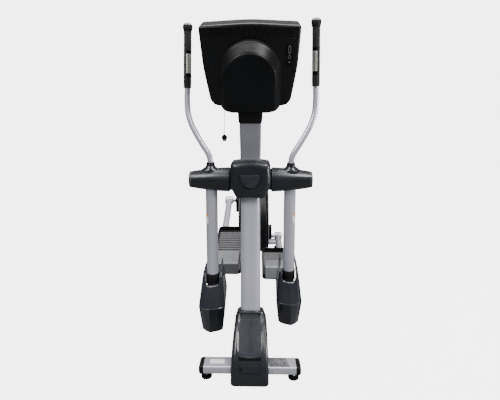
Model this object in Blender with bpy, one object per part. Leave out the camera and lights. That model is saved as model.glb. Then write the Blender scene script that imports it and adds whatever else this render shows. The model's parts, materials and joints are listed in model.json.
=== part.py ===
"""Rear-drive elliptical trainer with a central mast, two swing arms and a console.

Metres, +Z up. The console end faces -Y and the user faces it from +Y, so the user's
right hand is at -X. Every moving piece has its origin, or its parent empty, on its
joint's axis. Pieces that touch keep a gap of GAP.
"""
import math

import bmesh
import bpy
from mathutils import Matrix, Vector

# ---------------------------------------------------------------- driving dimensions
GAP = 0.0003                    # clearance between pieces that touch
FRONT = -0.8825                 # y of the front stabiliser, so that the frame is centred
LANE = 0.205                    # x distance of arms, boots and pedal beams from the middle

STAB_HALF = 0.219               # half length of a stabiliser tube
STAB_DEPTH = 0.080
STAB_LOW = 0.040
STAB_HIGH = 0.076
STAB_CAP = 0.024
REAR_STAB = FRONT + 1.800

BEAM_WIDTH = 0.100
BEAM_LOW = STAB_HIGH + GAP
BEAM_HIGH = 0.1263

BAR_Y = FRONT + 0.210           # cross bar axis, which the swing arms turn on
BAR_Z = 0.924
BAR_RADIUS = 0.025
LAND_RADIUS = 0.030             # bearing lands on the cross bar
BAR_HALF = 0.312
BLOCK_HALF = 0.106              # half width of the centre block
SLEEVE_INNER = 0.1075           # x where a cone sleeve starts
SLEEVE_OUTER = 0.3190

MAST_WIDTH = 0.100
MAST_DEPTH = 0.072
MAST_FOOT_Y = FRONT + 0.118

ARM_REACH = 0.724               # cross bar axis to lower pivot
ARM_TUBE = 0.031
COLLAR_LOW = -0.566             # band round the arm above the boot, down from the bar's axis
COLLAR_HIGH = -0.508
HANDLE_TUBE = 0.0150
HANDLE_FOOT = 0.2083            # x where the handle meets its sleeve
GRIP_RADIUS = 0.0205

CRANK_Y = FRONT + 1.440
CRANK_Z = 0.380
CRANK_THROW = 0.180
CRANK_FOOT = 0.098                  # inner end of a crank arm, out from the crank's centre
CRANK_TILT = math.radians(19.0)     # top pin leans forward by this much from upright
ROD = 1.187                         # lower arm pivot to crank pin

DISC_RADIUS = 0.240
HOUSING_HALF = 0.1065
HOUSING_RADIUS = 0.270
FLYWHEEL_Y = CRANK_Y + 0.220
FLYWHEEL_Z = 0.275
FLYWHEEL_RADIUS = 0.110
PULLEY_RADIUS = 0.152
SMALL_PULLEY = 0.019
IDLER_RADIUS = 0.018
BELT_LIFT = 0.0009              # keeps the belt's flats clear of the pulleys' corners
BELT_THICK = 0.0032

PLATE_INNER = 0.062             # footplate, x of its inner edge
PLATE_OUTER = 0.240
PLATE_TOE = 0.250               # along the beam from the lower arm pivot
PLATE_HEEL = 0.695
PLATE_RISE = 0.0248             # underside above the beam's axis

CONSOLE_TILT = math.radians(22.5)
CONSOLE_Y = FRONT + 0.140       # middle of the console's back plane
CONSOLE_Z = 1.4955
FACE_SLOPE = 0.15               # user's face of the console leans against the back plane

KEYS = (("start_key", 0.0, -0.075), ("level_down_key", 0.080, -0.095), ("level_up_key", -0.080, -0.095))
KEY_RADIUS = 0.013

CORD_RADIUS = 0.0015
CORD_X = -0.140                 # where the cord leaves the console's underside
CORD_DEPTH = 0.030

SIDES = (("right", -1), ("left", 1))


# ---------------------------------------------------------------- scene and meshes
def clear_scene():
    for obj in list(bpy.data.objects):
        bpy.data.objects.remove(obj, do_unlink=True)


def finish(name, colour, roughness, metallic):
    """A Principled material for one sub-part."""
    material = bpy.data.materials.new(name + "_finish")
    material.use_nodes = True
    shader = material.node_tree.nodes["Principled BSDF"]
    shader.inputs["Base Color"].default_value = (*colour, 1.0)
    shader.inputs["Roughness"].default_value = roughness
    shader.inputs["Metallic"].default_value = metallic
    return material


SILVER = ((0.52, 0.52, 0.57), 0.35, 0.55)
GREY_PAINT = ((0.30, 0.30, 0.32), 0.45, 0.40)
DARK_PLASTIC = ((0.055, 0.058, 0.062), 0.38, 0.0)
BLACK_PLASTIC = ((0.020, 0.020, 0.022), 0.50, 0.0)
RUBBER = ((0.018, 0.018, 0.018), 0.80, 0.0)
STEEL = ((0.55, 0.55, 0.56), 0.30, 1.0)
IRON = ((0.16, 0.16, 0.17), 0.55, 0.9)
SILVER_PLASTIC = ((0.50, 0.51, 0.54), 0.40, 0.2)
GLASS = ((0.03, 0.035, 0.04), 0.08, 0.0)
PALE_PLASTIC = ((0.45, 0.46, 0.48), 0.50, 0.0)


def bridge(bm, rings, loop=False):
    """Closed solid through rings of equal length: capped, or joined end to start."""
    made = [[bm.verts.new(point) for point in ring] for ring in rings]
    pairs = list(zip(made, made[1:]))
    if loop:
        pairs.append((made[-1], made[0]))
    count = len(made[0])
    for one, two in pairs:
        for i in range(count):
            j = (i + 1) % count
            bm.faces.new((one[i], one[j], two[j], two[i]))
    if not loop:
        bm.faces.new(made[0][::-1])
        bm.faces.new(made[-1])
    return bm


def new_object(name, bm):
    """Object from a bmesh whose faces are turned outwards."""
    bmesh.ops.recalc_face_normals(bm, faces=bm.faces)
    mesh = bpy.data.meshes.new(name)
    bm.to_mesh(mesh)
    bm.free()
    obj = bpy.data.objects.new(name, mesh)
    bpy.context.collection.objects.link(obj)
    return obj


def carve(obj, bm, operation="DIFFERENCE"):
    """Cut the shape out of the object, or weld it on, and keep the result."""
    cutter = new_object("cutter", bm)
    boolean = obj.modifiers.new("carve", "BOOLEAN")
    boolean.operation = operation
    boolean.solver = "EXACT"
    boolean.object = cutter
    graph = bpy.context.evaluated_depsgraph_get()
    result = bpy.data.meshes.new_from_object(obj.evaluated_get(graph), depsgraph=graph)
    obj.modifiers.clear()
    old = obj.data
    obj.data = result
    bpy.data.meshes.remove(old)
    bpy.data.objects.remove(cutter, do_unlink=True)
    return obj


def weld(obj, bm):
    return carve(obj, bm, "UNION")


def dress(obj, look, parent=None, sharp=35.0):
    """Give the object its own finish, smooth shading and its parent."""
    obj.data.materials.clear()
    obj.data.materials.append(finish(obj.name, *look))
    obj.data.shade_smooth()
    obj.data.set_sharp_from_angle(angle=math.radians(sharp))
    obj.parent = parent
    return obj


def part(name, bm, look, parent=None, sharp=35.0):
    return dress(new_object(name, bm), look, parent, sharp)


def pivot(name, y, z, turn=0.0, x=0.0):
    """Empty on a joint's axis, turned about X."""
    empty = bpy.data.objects.new(name, None)
    empty.location = (x, y, z)
    empty.rotation_euler = (turn, 0.0, 0.0)
    bpy.context.collection.objects.link(empty)
    return empty


# ---------------------------------------------------------------- outlines
def rounded_rect(width, depth, radius, steps=4):
    """Rounded rectangle round the origin, as 2-D points."""
    points = []
    for quarter, (sx, sy) in enumerate(((1, 1), (-1, 1), (-1, -1), (1, -1))):
        cx = sx * (width / 2 - radius)
        cy = sy * (depth / 2 - radius)
        for step in range(steps + 1):
            angle = math.pi / 2 * (quarter + step / steps)
            points.append((cx + radius * math.cos(angle), cy + radius * math.sin(angle)))
    return points


def circle(radius, segments=20, cx=0.0, cy=0.0):
    return [(cx + radius * math.cos(math.tau * i / segments),
             cy + radius * math.sin(math.tau * i / segments)) for i in range(segments)]


def hull(c1, r1, c2, r2, steps=16):
    """Outline of a belt round two circles, as 2-D points."""
    dx = c2[0] - c1[0]
    dy = c2[1] - c1[1]
    along = math.atan2(dy, dx)
    lean = math.acos((r1 - r2) / math.hypot(dx, dy))
    points = []
    for centre, radius, start, sweep in ((c1, r1, along + lean, math.tau - 2 * lean),
                                         (c2, r2, along - lean, 2 * lean)):
        for i in range(steps + 1):
            angle = start + sweep * i / steps
            points.append((centre[0] + radius * math.cos(angle), centre[1] + radius * math.sin(angle)))
    return points


def fillet_outline(corners, steps=5):
    """Polygon with each (x, y, radius) corner rounded, as 2-D points."""
    points = []
    count = len(corners)
    for i, (x, y, radius) in enumerate(corners):
        here = Vector((x, y))
        back = Vector(corners[i - 1][:2]) - here
        ahead = Vector(corners[(i + 1) % count][:2]) - here
        back.normalize()
        ahead.normalize()
        half = math.acos(max(-1.0, min(1.0, back.dot(ahead)))) / 2
        centre = here + (back + ahead).normalized() * radius / math.sin(half)
        first = here + back * radius / math.tan(half) - centre
        turn = first.angle_signed(here + ahead * radius / math.tan(half) - centre)
        for step in range(steps + 1):
            angle = -turn * step / steps
            arm = Vector((first.x * math.cos(angle) - first.y * math.sin(angle),
                          first.x * math.sin(angle) + first.y * math.cos(angle)))
            points.append(tuple(centre + arm))
    return points


def prism(outline, axis, low, high):
    """Outline extruded along an axis from low to high."""
    place = {"X": lambda a, p: (a, p[0], p[1]),
             "Y": lambda a, p: (p[0], a, p[1]),
             "Z": lambda a, p: (p[0], p[1], a)}[axis]
    return bridge(bmesh.new(), [[place(end, p) for p in outline] for end in (low, high)])


def box(x, y, z):
    """Box between (low, high) pairs."""
    outline = [(x[0], y[0]), (x[1], y[0]), (x[1], y[1]), (x[0], y[1])]
    return prism(outline, "Z", *z)


def turned(profile, axis="Z", segments=20, centre=(0.0, 0.0, 0.0)):
    """Closed (axial, radius) profile turned about an axis; radius 0 ends on the axis."""
    place = {"X": lambda a, u, v: Vector((a, u, v)),
             "Y": lambda a, u, v: Vector((v, a, u)),
             "Z": lambda a, u, v: Vector((u, v, a))}[axis]
    bm = bmesh.new()
    rings = []
    for axial, radius in profile:
        if radius == 0.0:
            rings.append([bm.verts.new(place(axial, 0.0, 0.0) + Vector(centre))])
            continue
        rings.append([bm.verts.new(place(axial, u, v) + Vector(centre)) for u, v in circle(radius, segments)])
    for one, two in zip(rings, rings[1:] + rings[:1]):
        if len(one) == 1 and len(two) == 1:
            continue
        for i in range(segments):
            j = (i + 1) % segments
            corners = [one[i % len(one)], one[j % len(one)], two[j % len(two)], two[i % len(two)]]
            bm.faces.new(list(dict.fromkeys(corners)))
    return bm


def disc(axis, low, high, radius, segments=20, centre=(0.0, 0.0, 0.0)):
    """Plain cylinder about an axis through the centre."""
    return turned(((low, 0.0), (low, radius), (high, radius), (high, 0.0)), axis, segments, centre)


def ring(axis, low, high, inner, outer, segments=20, centre=(0.0, 0.0, 0.0)):
    profile = ((low, inner), (low, outer), (high, outer), (high, inner))
    return turned(profile, axis, segments, centre)


def smooth_route(points, steps):
    """Catmull-Rom curve through the points, with even steps between each two."""
    ends = [2 * points[0] - points[1], *points, 2 * points[-1] - points[-2]]
    route = []
    for a, b, c, d in zip(ends, ends[1:], ends[2:], ends[3:]):
        for step in range(steps):
            t = step / steps
            route.append(0.5 * (2 * b + (c - a) * t + (2 * a - 5 * b + 4 * c - d) * t * t
                                + (3 * b - a - 3 * c + d) * t ** 3))
    route.append(points[-1].copy())
    return route


def route_rings(route, radii, segments=10, arc=None):
    """Rings, or arcs (start, span), square to a route in or near the XZ plane."""
    start, span = arc or (0.0, math.tau)
    count = segments if arc is None else segments + 1
    rings = []
    for i, point in enumerate(route):
        tangent = (route[min(i + 1, len(route) - 1)] - route[max(i - 1, 0)]).normalized()
        side = tangent.cross(Vector((0.0, 1.0, 0.0))).normalized()
        front = side.cross(tangent)
        turns = [start + span * k / segments for k in range(count)]
        rings.append([point + (side * math.cos(turn) + front * math.sin(turn)) * radii[i] for turn in turns])
    return rings


# ---------------------------------------------------------------- base and post
def stabilisers():
    """Flat tubes whose rounded ends stand for their push-in caps."""
    middle = (STAB_LOW + STAB_HIGH) / 2
    ends = ((STAB_HALF + STAB_CAP, 0.011), (STAB_HALF + 0.9 * STAB_CAP, 0.004),
            (STAB_HALF + 0.6 * STAB_CAP, 0.0))
    for name, y in (("front_stabiliser", FRONT), ("rear_stabiliser", REAR_STAB)):
        stations = [(-reach, shrink) for reach, shrink in ends] + list(reversed(ends))
        rings = []
        for x, shrink in stations:
            outline = rounded_rect(STAB_DEPTH - 2 * shrink, STAB_HIGH - STAB_LOW - 2 * shrink, 0.006, 3)
            rings.append([(x, y + a, middle + b) for a, b in outline])
        part(name, bridge(bmesh.new(), rings), SILVER)


def levelling_feet():
    """Four rubber feet on short threaded stems."""
    profile = ((0.0, 0.0), (0.0, 0.024), (0.006, 0.026), (0.012, 0.022), (0.014, 0.008),
               (STAB_LOW - GAP, 0.008), (STAB_LOW - GAP, 0.0))
    for end, y in (("front", FRONT), ("rear", REAR_STAB)):
        for prefix, side in SIDES:
            part(f"{end}_{prefix}_foot", turned(profile, "Z", 16, (side * 0.208, y, 0.0)), RUBBER)


def base_beam():
    outline = [(a, (BEAM_LOW + BEAM_HIGH) / 2 + b)
               for a, b in rounded_rect(BEAM_WIDTH, BEAM_HIGH - BEAM_LOW, 0.008, 3)]
    part("base_beam", prism(outline, "Y", FRONT - 0.022, REAR_STAB + 0.034), SILVER)


def mast_rings(low, high, grow=0.0):
    """Level sections of the leaning mast between two heights."""
    top_y = BAR_Y - 0.002
    rings = []
    for z in (low, high):
        y = MAST_FOOT_Y + (top_y - MAST_FOOT_Y) * (z - BEAM_HIGH) / (BAR_Z - BEAM_HIGH)
        rings.append([(a, y + b, z) for a, b in
                      rounded_rect(MAST_WIDTH + 2 * grow, MAST_DEPTH + 2 * grow, 0.030, 5)])
    return rings


def mast():
    part("mast", bridge(bmesh.new(), mast_rings(BEAM_HIGH + GAP, BAR_Z - BAR_RADIUS - GAP)), SILVER)


def neck_rings(grow=0.0, low=0.0, high=0.0):
    """Sections of the upper post: back from the cross bar, then forward into the dome."""
    stations = ((0.0253, 0.000, 0.0), (0.060, 0.005, 0.0), (0.110, 0.008, 0.0), (0.150, 0.004, 3.0),
                (0.200, -0.006, 7.0), (0.260, -0.016, 11.0), (0.330, -0.032, 16.0), (0.400, -0.056, 21.0),
                (0.450, -0.078, 22.5))
    rings = []
    for i, (rise, shift, lean) in enumerate(stations):
        if i == 0:
            rise -= low
        if i == len(stations) - 1:
            rise += high
        share = rise / stations[-1][0]
        turn = math.radians(lean)
        rings.append([(a, BAR_Y + shift + b * math.cos(turn), BAR_Z + rise + b * math.sin(turn))
                      for a, b in rounded_rect(0.102 + 0.014 * share + 2 * grow, 0.058 + 2 * grow, 0.012, 4)])
    return rings


def neck():
    post = new_object("neck", bridge(bmesh.new(), neck_rings()))
    weld(post, neck_head())
    dress(post, GREY_PAINT)


def foot_cover_rings(inset=0.0, low=0.0, high=0.0):
    """Level sections (z, half width, front, rear) of the moulded cover round the mast's foot."""
    stations = ((0.008, 0.0895, -0.076, 0.200), (0.070, 0.0890, -0.066, 0.210), (0.130, 0.0865, -0.036, 0.212),
                (0.205, 0.0800, 0.030, 0.210), (0.262, 0.0690, 0.076, 0.195), (0.275, 0.0640, 0.083, 0.188))
    rings = []
    for i, (z, half, front, rear) in enumerate(stations):
        if i == 0:
            z -= low
        if i == len(stations) - 1:
            z += high
        middle = FRONT + (front + rear) / 2
        rings.append([(a, middle + b, z) for a, b in
                      rounded_rect(2 * (half - inset), rear - front - 2 * inset, 0.022, 4)])
    return rings


def foot_cover():
    """Open-bottomed shell with holes for the mast, both stabiliser ends and the base beam."""
    cover = new_object("foot_cover", bridge(bmesh.new(), foot_cover_rings()))
    carve(cover, bridge(bmesh.new(), foot_cover_rings(0.004, 0.010, -0.004)))
    carve(cover, bridge(bmesh.new(), mast_rings(0.20, 0.32, 0.001)))
    carve(cover, box((-0.12, 0.12), (FRONT - STAB_DEPTH / 2 - 0.002, FRONT + STAB_DEPTH / 2 + 0.002),
                     (-0.01, STAB_HIGH + 0.002)))
    half = BEAM_WIDTH / 2 + 0.0015
    carve(cover, box((-half, half), (FRONT + 0.15, FRONT + 0.25), (-0.01, BEAM_HIGH + 0.0015)))
    dress(cover, DARK_PLASTIC)


# ---------------------------------------------------------------- cross bar
def cross_bar():
    """Round bar with two raised bearing lands for each cone sleeve."""
    half = [(0.0, BAR_RADIUS)]
    for land in (0.128, 0.285):
        half += [(land - 0.010, BAR_RADIUS), (land - 0.010, LAND_RADIUS),
                 (land + 0.010, LAND_RADIUS), (land + 0.010, BAR_RADIUS)]
    half += [(BAR_HALF, BAR_RADIUS), (BAR_HALF, 0.0)]
    profile = [(-x, r) for x, r in reversed(half)] + half[1:]
    part("cross_bar", turned(profile, "X", 20, (0.0, BAR_Y, BAR_Z)), STEEL)


def block_outline(inset=0.0):
    """Shield-shaped front view of the centre block, round the cross bar's axis."""
    half = BLOCK_HALF - inset
    top = 0.104 - inset
    low = -0.090 + inset
    corners = ((0.030, top + 0.003, 0.10), (-0.030, top + 0.003, 0.10), (-half + 0.018, top - 0.006, 0.03),
               (-half, top - 0.030, 0.02), (-half, -0.035, 0.06), (-half + 0.034, low, 0.022),
               (half - 0.034, low, 0.022), (half, -0.035, 0.06), (half, top - 0.030, 0.02),
               (half - 0.018, top - 0.006, 0.03))
    return fillet_outline([(x, z, r * 0.3) for x, z, r in corners], 3)


def block_rings(inset=0.0, reach=0.0):
    rings = []
    for y, shrink in ((-0.084 + reach, 0.030), (-0.078 + reach, 0.012), (-0.058 + reach, 0.0),
                      (0.060 - reach, 0.0), (0.074 - reach, 0.008), (0.080 - reach, 0.024)):
        rings.append([(x, BAR_Y + y, BAR_Z + z) for x, z in block_outline(inset + shrink)])
    return rings


def cross_bar_covers():
    """Front and rear shells of the centre block, meeting on the cross bar's plane."""
    for name, low, high in (("cross_bar_front_cover", -0.20, -GAP / 2),
                            ("cross_bar_rear_cover", GAP / 2, 0.20)):
        cover = new_object(name, bridge(bmesh.new(), block_rings()))
        carve(cover, bridge(bmesh.new(), block_rings(0.0035, 0.0035)))
        carve(cover, bridge(bmesh.new(), mast_rings(0.70, 0.92, 0.0012)))
        carve(cover, bridge(bmesh.new(), neck_rings(0.0012, 0.02)))
        carve(cover, disc("X", -0.2, 0.2, BAR_RADIUS + 0.001, 20, (0.0, BAR_Y, BAR_Z)))
        carve(cover, box((-0.2, 0.2), (BAR_Y + low, BAR_Y + high), (0.7, 1.2)), "INTERSECT")
        dress(cover, DARK_PLASTIC)


def blank_badge():
    """Blank U-shaped plate on the front of the centre block."""
    outline = [(0.055 * math.cos(a), -0.070 * math.sin(a)) for a in (math.pi * i / 16 for i in range(17))]
    shape = [(x, BAR_Z + 0.034 + z) for x, z in outline]
    front = BAR_Y - 0.084 - GAP
    part("blank_badge", prism(shape, "Y", front - 0.0015, front), DARK_PLASTIC)


# ---------------------------------------------------------------- swing arms, built round the cross bar's axis
def sleeve_radius(x):
    """Outer radius of a cone sleeve at a distance from the middle."""
    t = (x - SLEEVE_INNER) / (SLEEVE_OUTER - SLEEVE_INNER)
    return 0.0634 - 0.0070 * t - 0.0154 * t * t


def sleeve_profile(side):
    """Tapered outside with a stepped end ring, over a plain bore."""
    inner = LAND_RADIUS + GAP
    stations = [SLEEVE_INNER + (SLEEVE_OUTER - 0.012 - SLEEVE_INNER) * i / 4 for i in range(5)]
    points = [(stations[0], inner)]
    points += [(x, sleeve_radius(x)) for x in stations]
    points += [(SLEEVE_OUTER - 0.011, 0.0425), (SLEEVE_OUTER - 0.003, 0.0415), (SLEEVE_OUTER, 0.037)]
    points.append((SLEEVE_OUTER, 0.0))
    points.append((BAR_HALF + 0.001, 0.0))
    points.append((BAR_HALF + 0.001, inner))
    return [(side * x, radius) for x, radius in points]


def cone_sleeve(prefix, side, parent):
    """Tapered sleeve with the flared collar that the handle rises from."""
    sleeve = new_object(prefix + "_cone_sleeve", turned(sleeve_profile(side), "X", 24))
    bore = HANDLE_TUBE + 0.0015
    collar = turned(((0.048, bore), (0.048, 0.0335), (0.066, 0.0300), (0.078, 0.0215), (0.090, 0.0195),
                     (0.090, bore)), "Z", 16, (side * HANDLE_FOOT, 0.0, 0.0))
    weld(sleeve, collar)
    dress(sleeve, DARK_PLASTIC, parent)


def saddle(side):
    """Solid cone a little larger than the sleeve, which trims what sits on it."""
    profile = [(side * (SLEEVE_INNER - 0.01), 0.0)]
    profile += [(side * x, sleeve_radius(x) + GAP) for x in (SLEEVE_INNER - 0.01, 0.16, 0.19, 0.22, 0.25, 0.29)]
    profile.append((side * 0.29, 0.0))
    return turned(profile, "X", 24)


def handle_route(side):
    """Centreline of the upper handle: out and up from the sleeve, then nearly upright."""
    stations = ((HANDLE_FOOT, 0.000, 0.0600), (HANDLE_FOOT, 0.000, 0.090),
                (0.2180, 0.004, 0.130), (0.2500, 0.014, 0.180),
                (0.2830, 0.028, 0.232), (0.3130, 0.046, 0.287), (0.3320, 0.064, 0.345), (0.3375, 0.078, 0.410),
                (0.3370, 0.088, 0.475), (0.3360, 0.099, 0.600), (0.3345, 0.110, 0.730), (0.3340, 0.1145, 0.785))
    return smooth_route([Vector((side * x, y, z)) for x, y, z in stations], 2)


def handle(prefix, side, parent):
    route = handle_route(side)
    rings = route_rings(route, [HANDLE_TUBE] * len(route), 10)
    part(prefix + "_handle_tube", bridge(bmesh.new(), rings), SILVER, parent)


def grip(prefix, side, parent):
    """Foam sleeve over the handle, closed by a wider domed end."""
    route = [point for point in handle_route(side) if point.z > 0.470]
    rise = (route[-1] - route[-2]).normalized()
    bore = route[:-1] + [route[-1] + rise * GAP]
    inner = route_rings(bore, [HANDLE_TUBE + GAP] * len(bore))
    radii = [GRIP_RADIUS - 0.003] + [GRIP_RADIUS] * (len(route) - 2)
    outside = route[:-1]
    for reach, radius in ((0.000, GRIP_RADIUS), (0.003, 0.0255), (0.018, 0.0265), (0.027, 0.024),
                          (0.034, 0.016)):
        outside.append(route[-1] + rise * reach)
        radii.append(radius)
    outer = route_rings(outside, radii)
    part(prefix + "_grip", bridge(bmesh.new(), inner[::-1] + outer), RUBBER, parent)


def pulse_sensor(prefix, side, parent):
    """Curved contact plate on the grip, facing in and away from the user."""
    route = [point for point in handle_route(side) if 0.53 < point.z < 0.67]
    facing = -1.0 if side > 0 else math.pi + 1.0
    arc = (facing - 0.80, 1.60)
    outer = route_rings(route, [GRIP_RADIUS + 0.0018] * len(route), 10, arc)
    inner = route_rings(route, [GRIP_RADIUS + GAP] * len(route), 10, arc)
    rings = [one + two[::-1] for one, two in zip(outer, inner)]
    part(prefix + "_pulse_sensor", bridge(bmesh.new(), rings), STEEL, parent)


def arm_collar(prefix, side, parent):
    """Plain collar round the arm's lower end."""
    low = ring("Z", COLLAR_LOW, COLLAR_HIGH, ARM_TUBE + GAP, ARM_TUBE + 0.0040, 20, (side * LANE, 0.0, 0.0))
    part(prefix + "_arm_collar", low, BLACK_PLASTIC, parent)


def lower_arm(prefix, side, parent):
    """Tube under the sleeve, ending in a bored knuckle."""
    x = side * LANE
    arm = new_object(prefix + "_lower_arm", disc("Z", -0.698, -0.030, ARM_TUBE, 20, (x, 0.0, 0.0)))
    carve(arm, saddle(side))
    weld(arm, disc("X", -0.027, 0.027, 0.027, 16, (x, 0.0, -ARM_REACH)))
    carve(arm, disc("X", -0.05, 0.05, 0.0108, 12, (x, 0.0, -ARM_REACH)))
    dress(arm, SILVER, parent)


def boot_rings(side, inset=0.0, open_rear=0.0, low=0.0, high=0.0):
    """Level sections (z, half width, front, rear) of the moulded boot."""
    stations = ((-0.826, 0.0500, -0.042, 0.105), (-0.814, 0.0545, -0.060, 0.125),
                (-0.676, 0.0680, -0.092, 0.150), (-0.664, 0.0685, -0.090, 0.150),
                (-0.575, 0.0620, -0.048, 0.128), (-0.528, 0.0560, -0.020, 0.112),
                (-0.486, 0.0500, 0.020, 0.090))
    rings = []
    for i, (z, half, front, rear) in enumerate(stations):
        if i == 0:
            z -= low
        if i == len(stations) - 1:
            z += high
        front += inset
        rear += open_rear
        rings.append([(side * LANE + a, (front + rear) / 2 + b, z) for a, b in
                      rounded_rect(2 * (half - inset), rear - front, 0.014, 3)])
    return rings


def boot(prefix, side, parent):
    """Shell with a front and two cheeks, open at the top and at the rear for the beam."""
    shell = new_object(prefix + "_boot", bridge(bmesh.new(), boot_rings(side)))
    carve(shell, bridge(bmesh.new(), boot_rings(side, 0.004, 0.060, -0.006, 0.030)))
    x = side * LANE
    carve(shell, box((x - 0.0420, x + 0.0420), (-0.15, 0.25), (COLLAR_LOW - 0.006, -0.40)))
    dress(shell, DARK_PLASTIC, parent)


def swing_arm(prefix, side, lean):
    parent = pivot(prefix + "_arm_pivot", BAR_Y, BAR_Z, lean)
    cone_sleeve(prefix, side, parent)
    handle(prefix, side, parent)
    grip(prefix, side, parent)
    pulse_sensor(prefix, side, parent)
    arm_collar(prefix, side, parent)
    lower_arm(prefix, side, parent)
    boot(prefix, side, parent)


# ---------------------------------------------------------------- pedal beams, built along +Y from the lower pivot
def pedal_beam(prefix, side, parent):
    """Tube with a forked front end and pin, and a hub beside the crank pin at the rear."""
    x = side * LANE
    beam = new_object(prefix + "_pedal_beam", disc("Y", 0.070, ROD - 0.010, 0.024, 16, (x, 0.0, 0.0)))
    weld(beam, box((x - 0.0425, x + 0.0425), (0.058, 0.086), (-0.018, 0.018)))
    for cheek in (-1, 1):
        outline = hull((0.0, 0.0), 0.022, (0.075, 0.0), 0.0175, 5)
        edges = sorted((x + cheek * 0.0325, x + cheek * 0.0424))
        weld(beam, prism(outline, "X", *edges))
    weld(beam, disc("X", x - 0.040, x + 0.040, 0.0100, 12))
    weld(beam, disc("X", x - 0.030, x + 0.030, 0.0320, 20, (0.0, ROD, 0.0)))
    dress(beam, SILVER, parent)


def footplate(prefix, side, parent):
    """Tray with a raised rim, higher behind the heel."""
    middle = side * (PLATE_INNER + PLATE_OUTER) / 2
    width = PLATE_OUTER - PLATE_INNER
    length = PLATE_HEEL - PLATE_TOE
    centre = (PLATE_HEEL + PLATE_TOE) / 2
    low = PLATE_RISE
    rings = []
    for z, shrink in ((low, 0.004), (low + 0.004, 0.0), (low + 0.046, 0.0)):
        rings.append([(middle + a, centre + b, z) for a, b in
                      rounded_rect(width - 2 * shrink, length - 2 * shrink, 0.030, 5)])
    tray = new_object(prefix + "_footplate", bridge(bmesh.new(), rings))
    well = [(middle + a, centre + b) for a, b in rounded_rect(width - 0.014, length - 0.014, 0.025, 5)]
    carve(tray, prism(well, "Z", low + 0.018, low + 0.10))
    rim = [(PLATE_TOE - 0.02, low + 0.030), (PLATE_HEEL - 0.10, low + 0.030), (PLATE_HEEL - 0.03, low + 0.0465),
           (PLATE_HEEL + 0.02, low + 0.0465), (PLATE_HEEL + 0.02, low + 0.10), (PLATE_TOE - 0.02, low + 0.10)]
    carve(tray, prism(rim, "X", *sorted((side * 0.02, side * 0.30))))
    dress(tray, BLACK_PLASTIC, parent)


def toe_block(prefix, side, parent):
    """Raised silver block across the front of the footplate."""
    inner = PLATE_INNER + 0.020
    outer = PLATE_OUTER - 0.020
    low = PLATE_RISE + 0.018 + GAP
    front = PLATE_TOE + 0.012
    profile = fillet_outline(((front, low, 0.003), (front, low + 0.064, 0.006),
                              (front + 0.126, low + 0.054, 0.012), (front + 0.150, low, 0.003)), 3)
    across = sorted((side * inner, side * outer))
    part(prefix + "_toe_block", prism(profile, "X", *across), SILVER_PLASTIC, parent)


def beam_group(prefix, side, y, z, rise):
    parent = pivot(prefix + "_beam_pivot", y, z, rise)
    pedal_beam(prefix, side, parent)
    footplate(prefix, side, parent)
    toe_block(prefix, side, parent)


def linkage():
    """Both swing arms and pedal beams, closed on the crank pins by two circles."""
    for prefix, side in SIDES:
        pin_y = CRANK_Y + side * CRANK_THROW * math.sin(CRANK_TILT)
        pin_z = CRANK_Z - side * CRANK_THROW * math.cos(CRANK_TILT)
        span = math.hypot(pin_y - BAR_Y, pin_z - BAR_Z)
        bearing = math.atan2(pin_z - BAR_Z, pin_y - BAR_Y)
        corner = math.acos((ARM_REACH ** 2 + span ** 2 - ROD ** 2) / (2 * ARM_REACH * span))
        swing = bearing - corner
        low_y = BAR_Y + ARM_REACH * math.cos(swing)
        low_z = BAR_Z + ARM_REACH * math.sin(swing)
        swing_arm(prefix, side, swing + math.pi / 2)
        beam_group(prefix, side, low_y, low_z, math.atan2(pin_z - low_z, pin_y - low_y))


# ---------------------------------------------------------------- drive
def crank_axle(parent):
    part("crank_axle", disc("X", -0.1205, 0.1205, 0.015, 20), STEEL, parent)


def crank_pulley(parent):
    """Rim, web and hub; the rim's flanges keep the belt on."""
    profile = ((-0.078, 0.0155), (-0.078, 0.030), (-0.067, 0.032), (-0.067, PULLEY_RADIUS - 0.012),
               (-0.078, PULLEY_RADIUS - 0.010), (-0.078, PULLEY_RADIUS + 0.005), (-0.0765, PULLEY_RADIUS + 0.005),
               (-0.0755, PULLEY_RADIUS), (-0.0545, PULLEY_RADIUS), (-0.0535, PULLEY_RADIUS + 0.005),
               (-0.052, PULLEY_RADIUS + 0.005), (-0.052, PULLEY_RADIUS - 0.010), (-0.061, PULLEY_RADIUS - 0.012),
               (-0.061, 0.032), (-0.050, 0.030), (-0.050, 0.0155))
    part("crank_pulley", turned(profile, "X", 28), BLACK_PLASTIC, parent)


def crank_disc(prefix, side, parent):
    """Large round cover that turns outside the housing."""
    start = HOUSING_HALF + 0.0008
    profile = ((start, 0.0155), (start, DISC_RADIUS - 0.002), (start + 0.003, DISC_RADIUS),
               (start + 0.009, DISC_RADIUS), (start + 0.0135, DISC_RADIUS - 0.010), (start + 0.0135, 0.0155))
    part(prefix + "_crank_disc", turned([(side * x, r) for x, r in profile], "X", 40), BLACK_PLASTIC, parent)


def crank_arm(prefix, side, parent):
    """Pill-shaped arm on the disc, with the stub pin at its outer end."""
    up = -side
    start = HOUSING_HALF + 0.0008 + 0.0135 + GAP
    rings = []
    for reach, shrink in ((0.0, 0.003), (0.003, 0.0), (0.024, 0.0), (0.030, 0.006)):
        outline = hull((0.0, up * CRANK_FOOT), 0.030 - shrink, (0.0, up * CRANK_THROW), 0.030 - shrink, 12)
        rings.append([(side * (start + reach), y, z) for y, z in outline])
    arm = new_object(prefix + "_crank_arm", bridge(bmesh.new(), rings))
    pin = sorted((side * (start + 0.020), side * (LANE - 0.0325)))
    weld(arm, disc("X", *pin, 0.016, 24, (0.0, 0.0, up * CRANK_THROW)))
    dress(arm, STEEL, parent)


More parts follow.
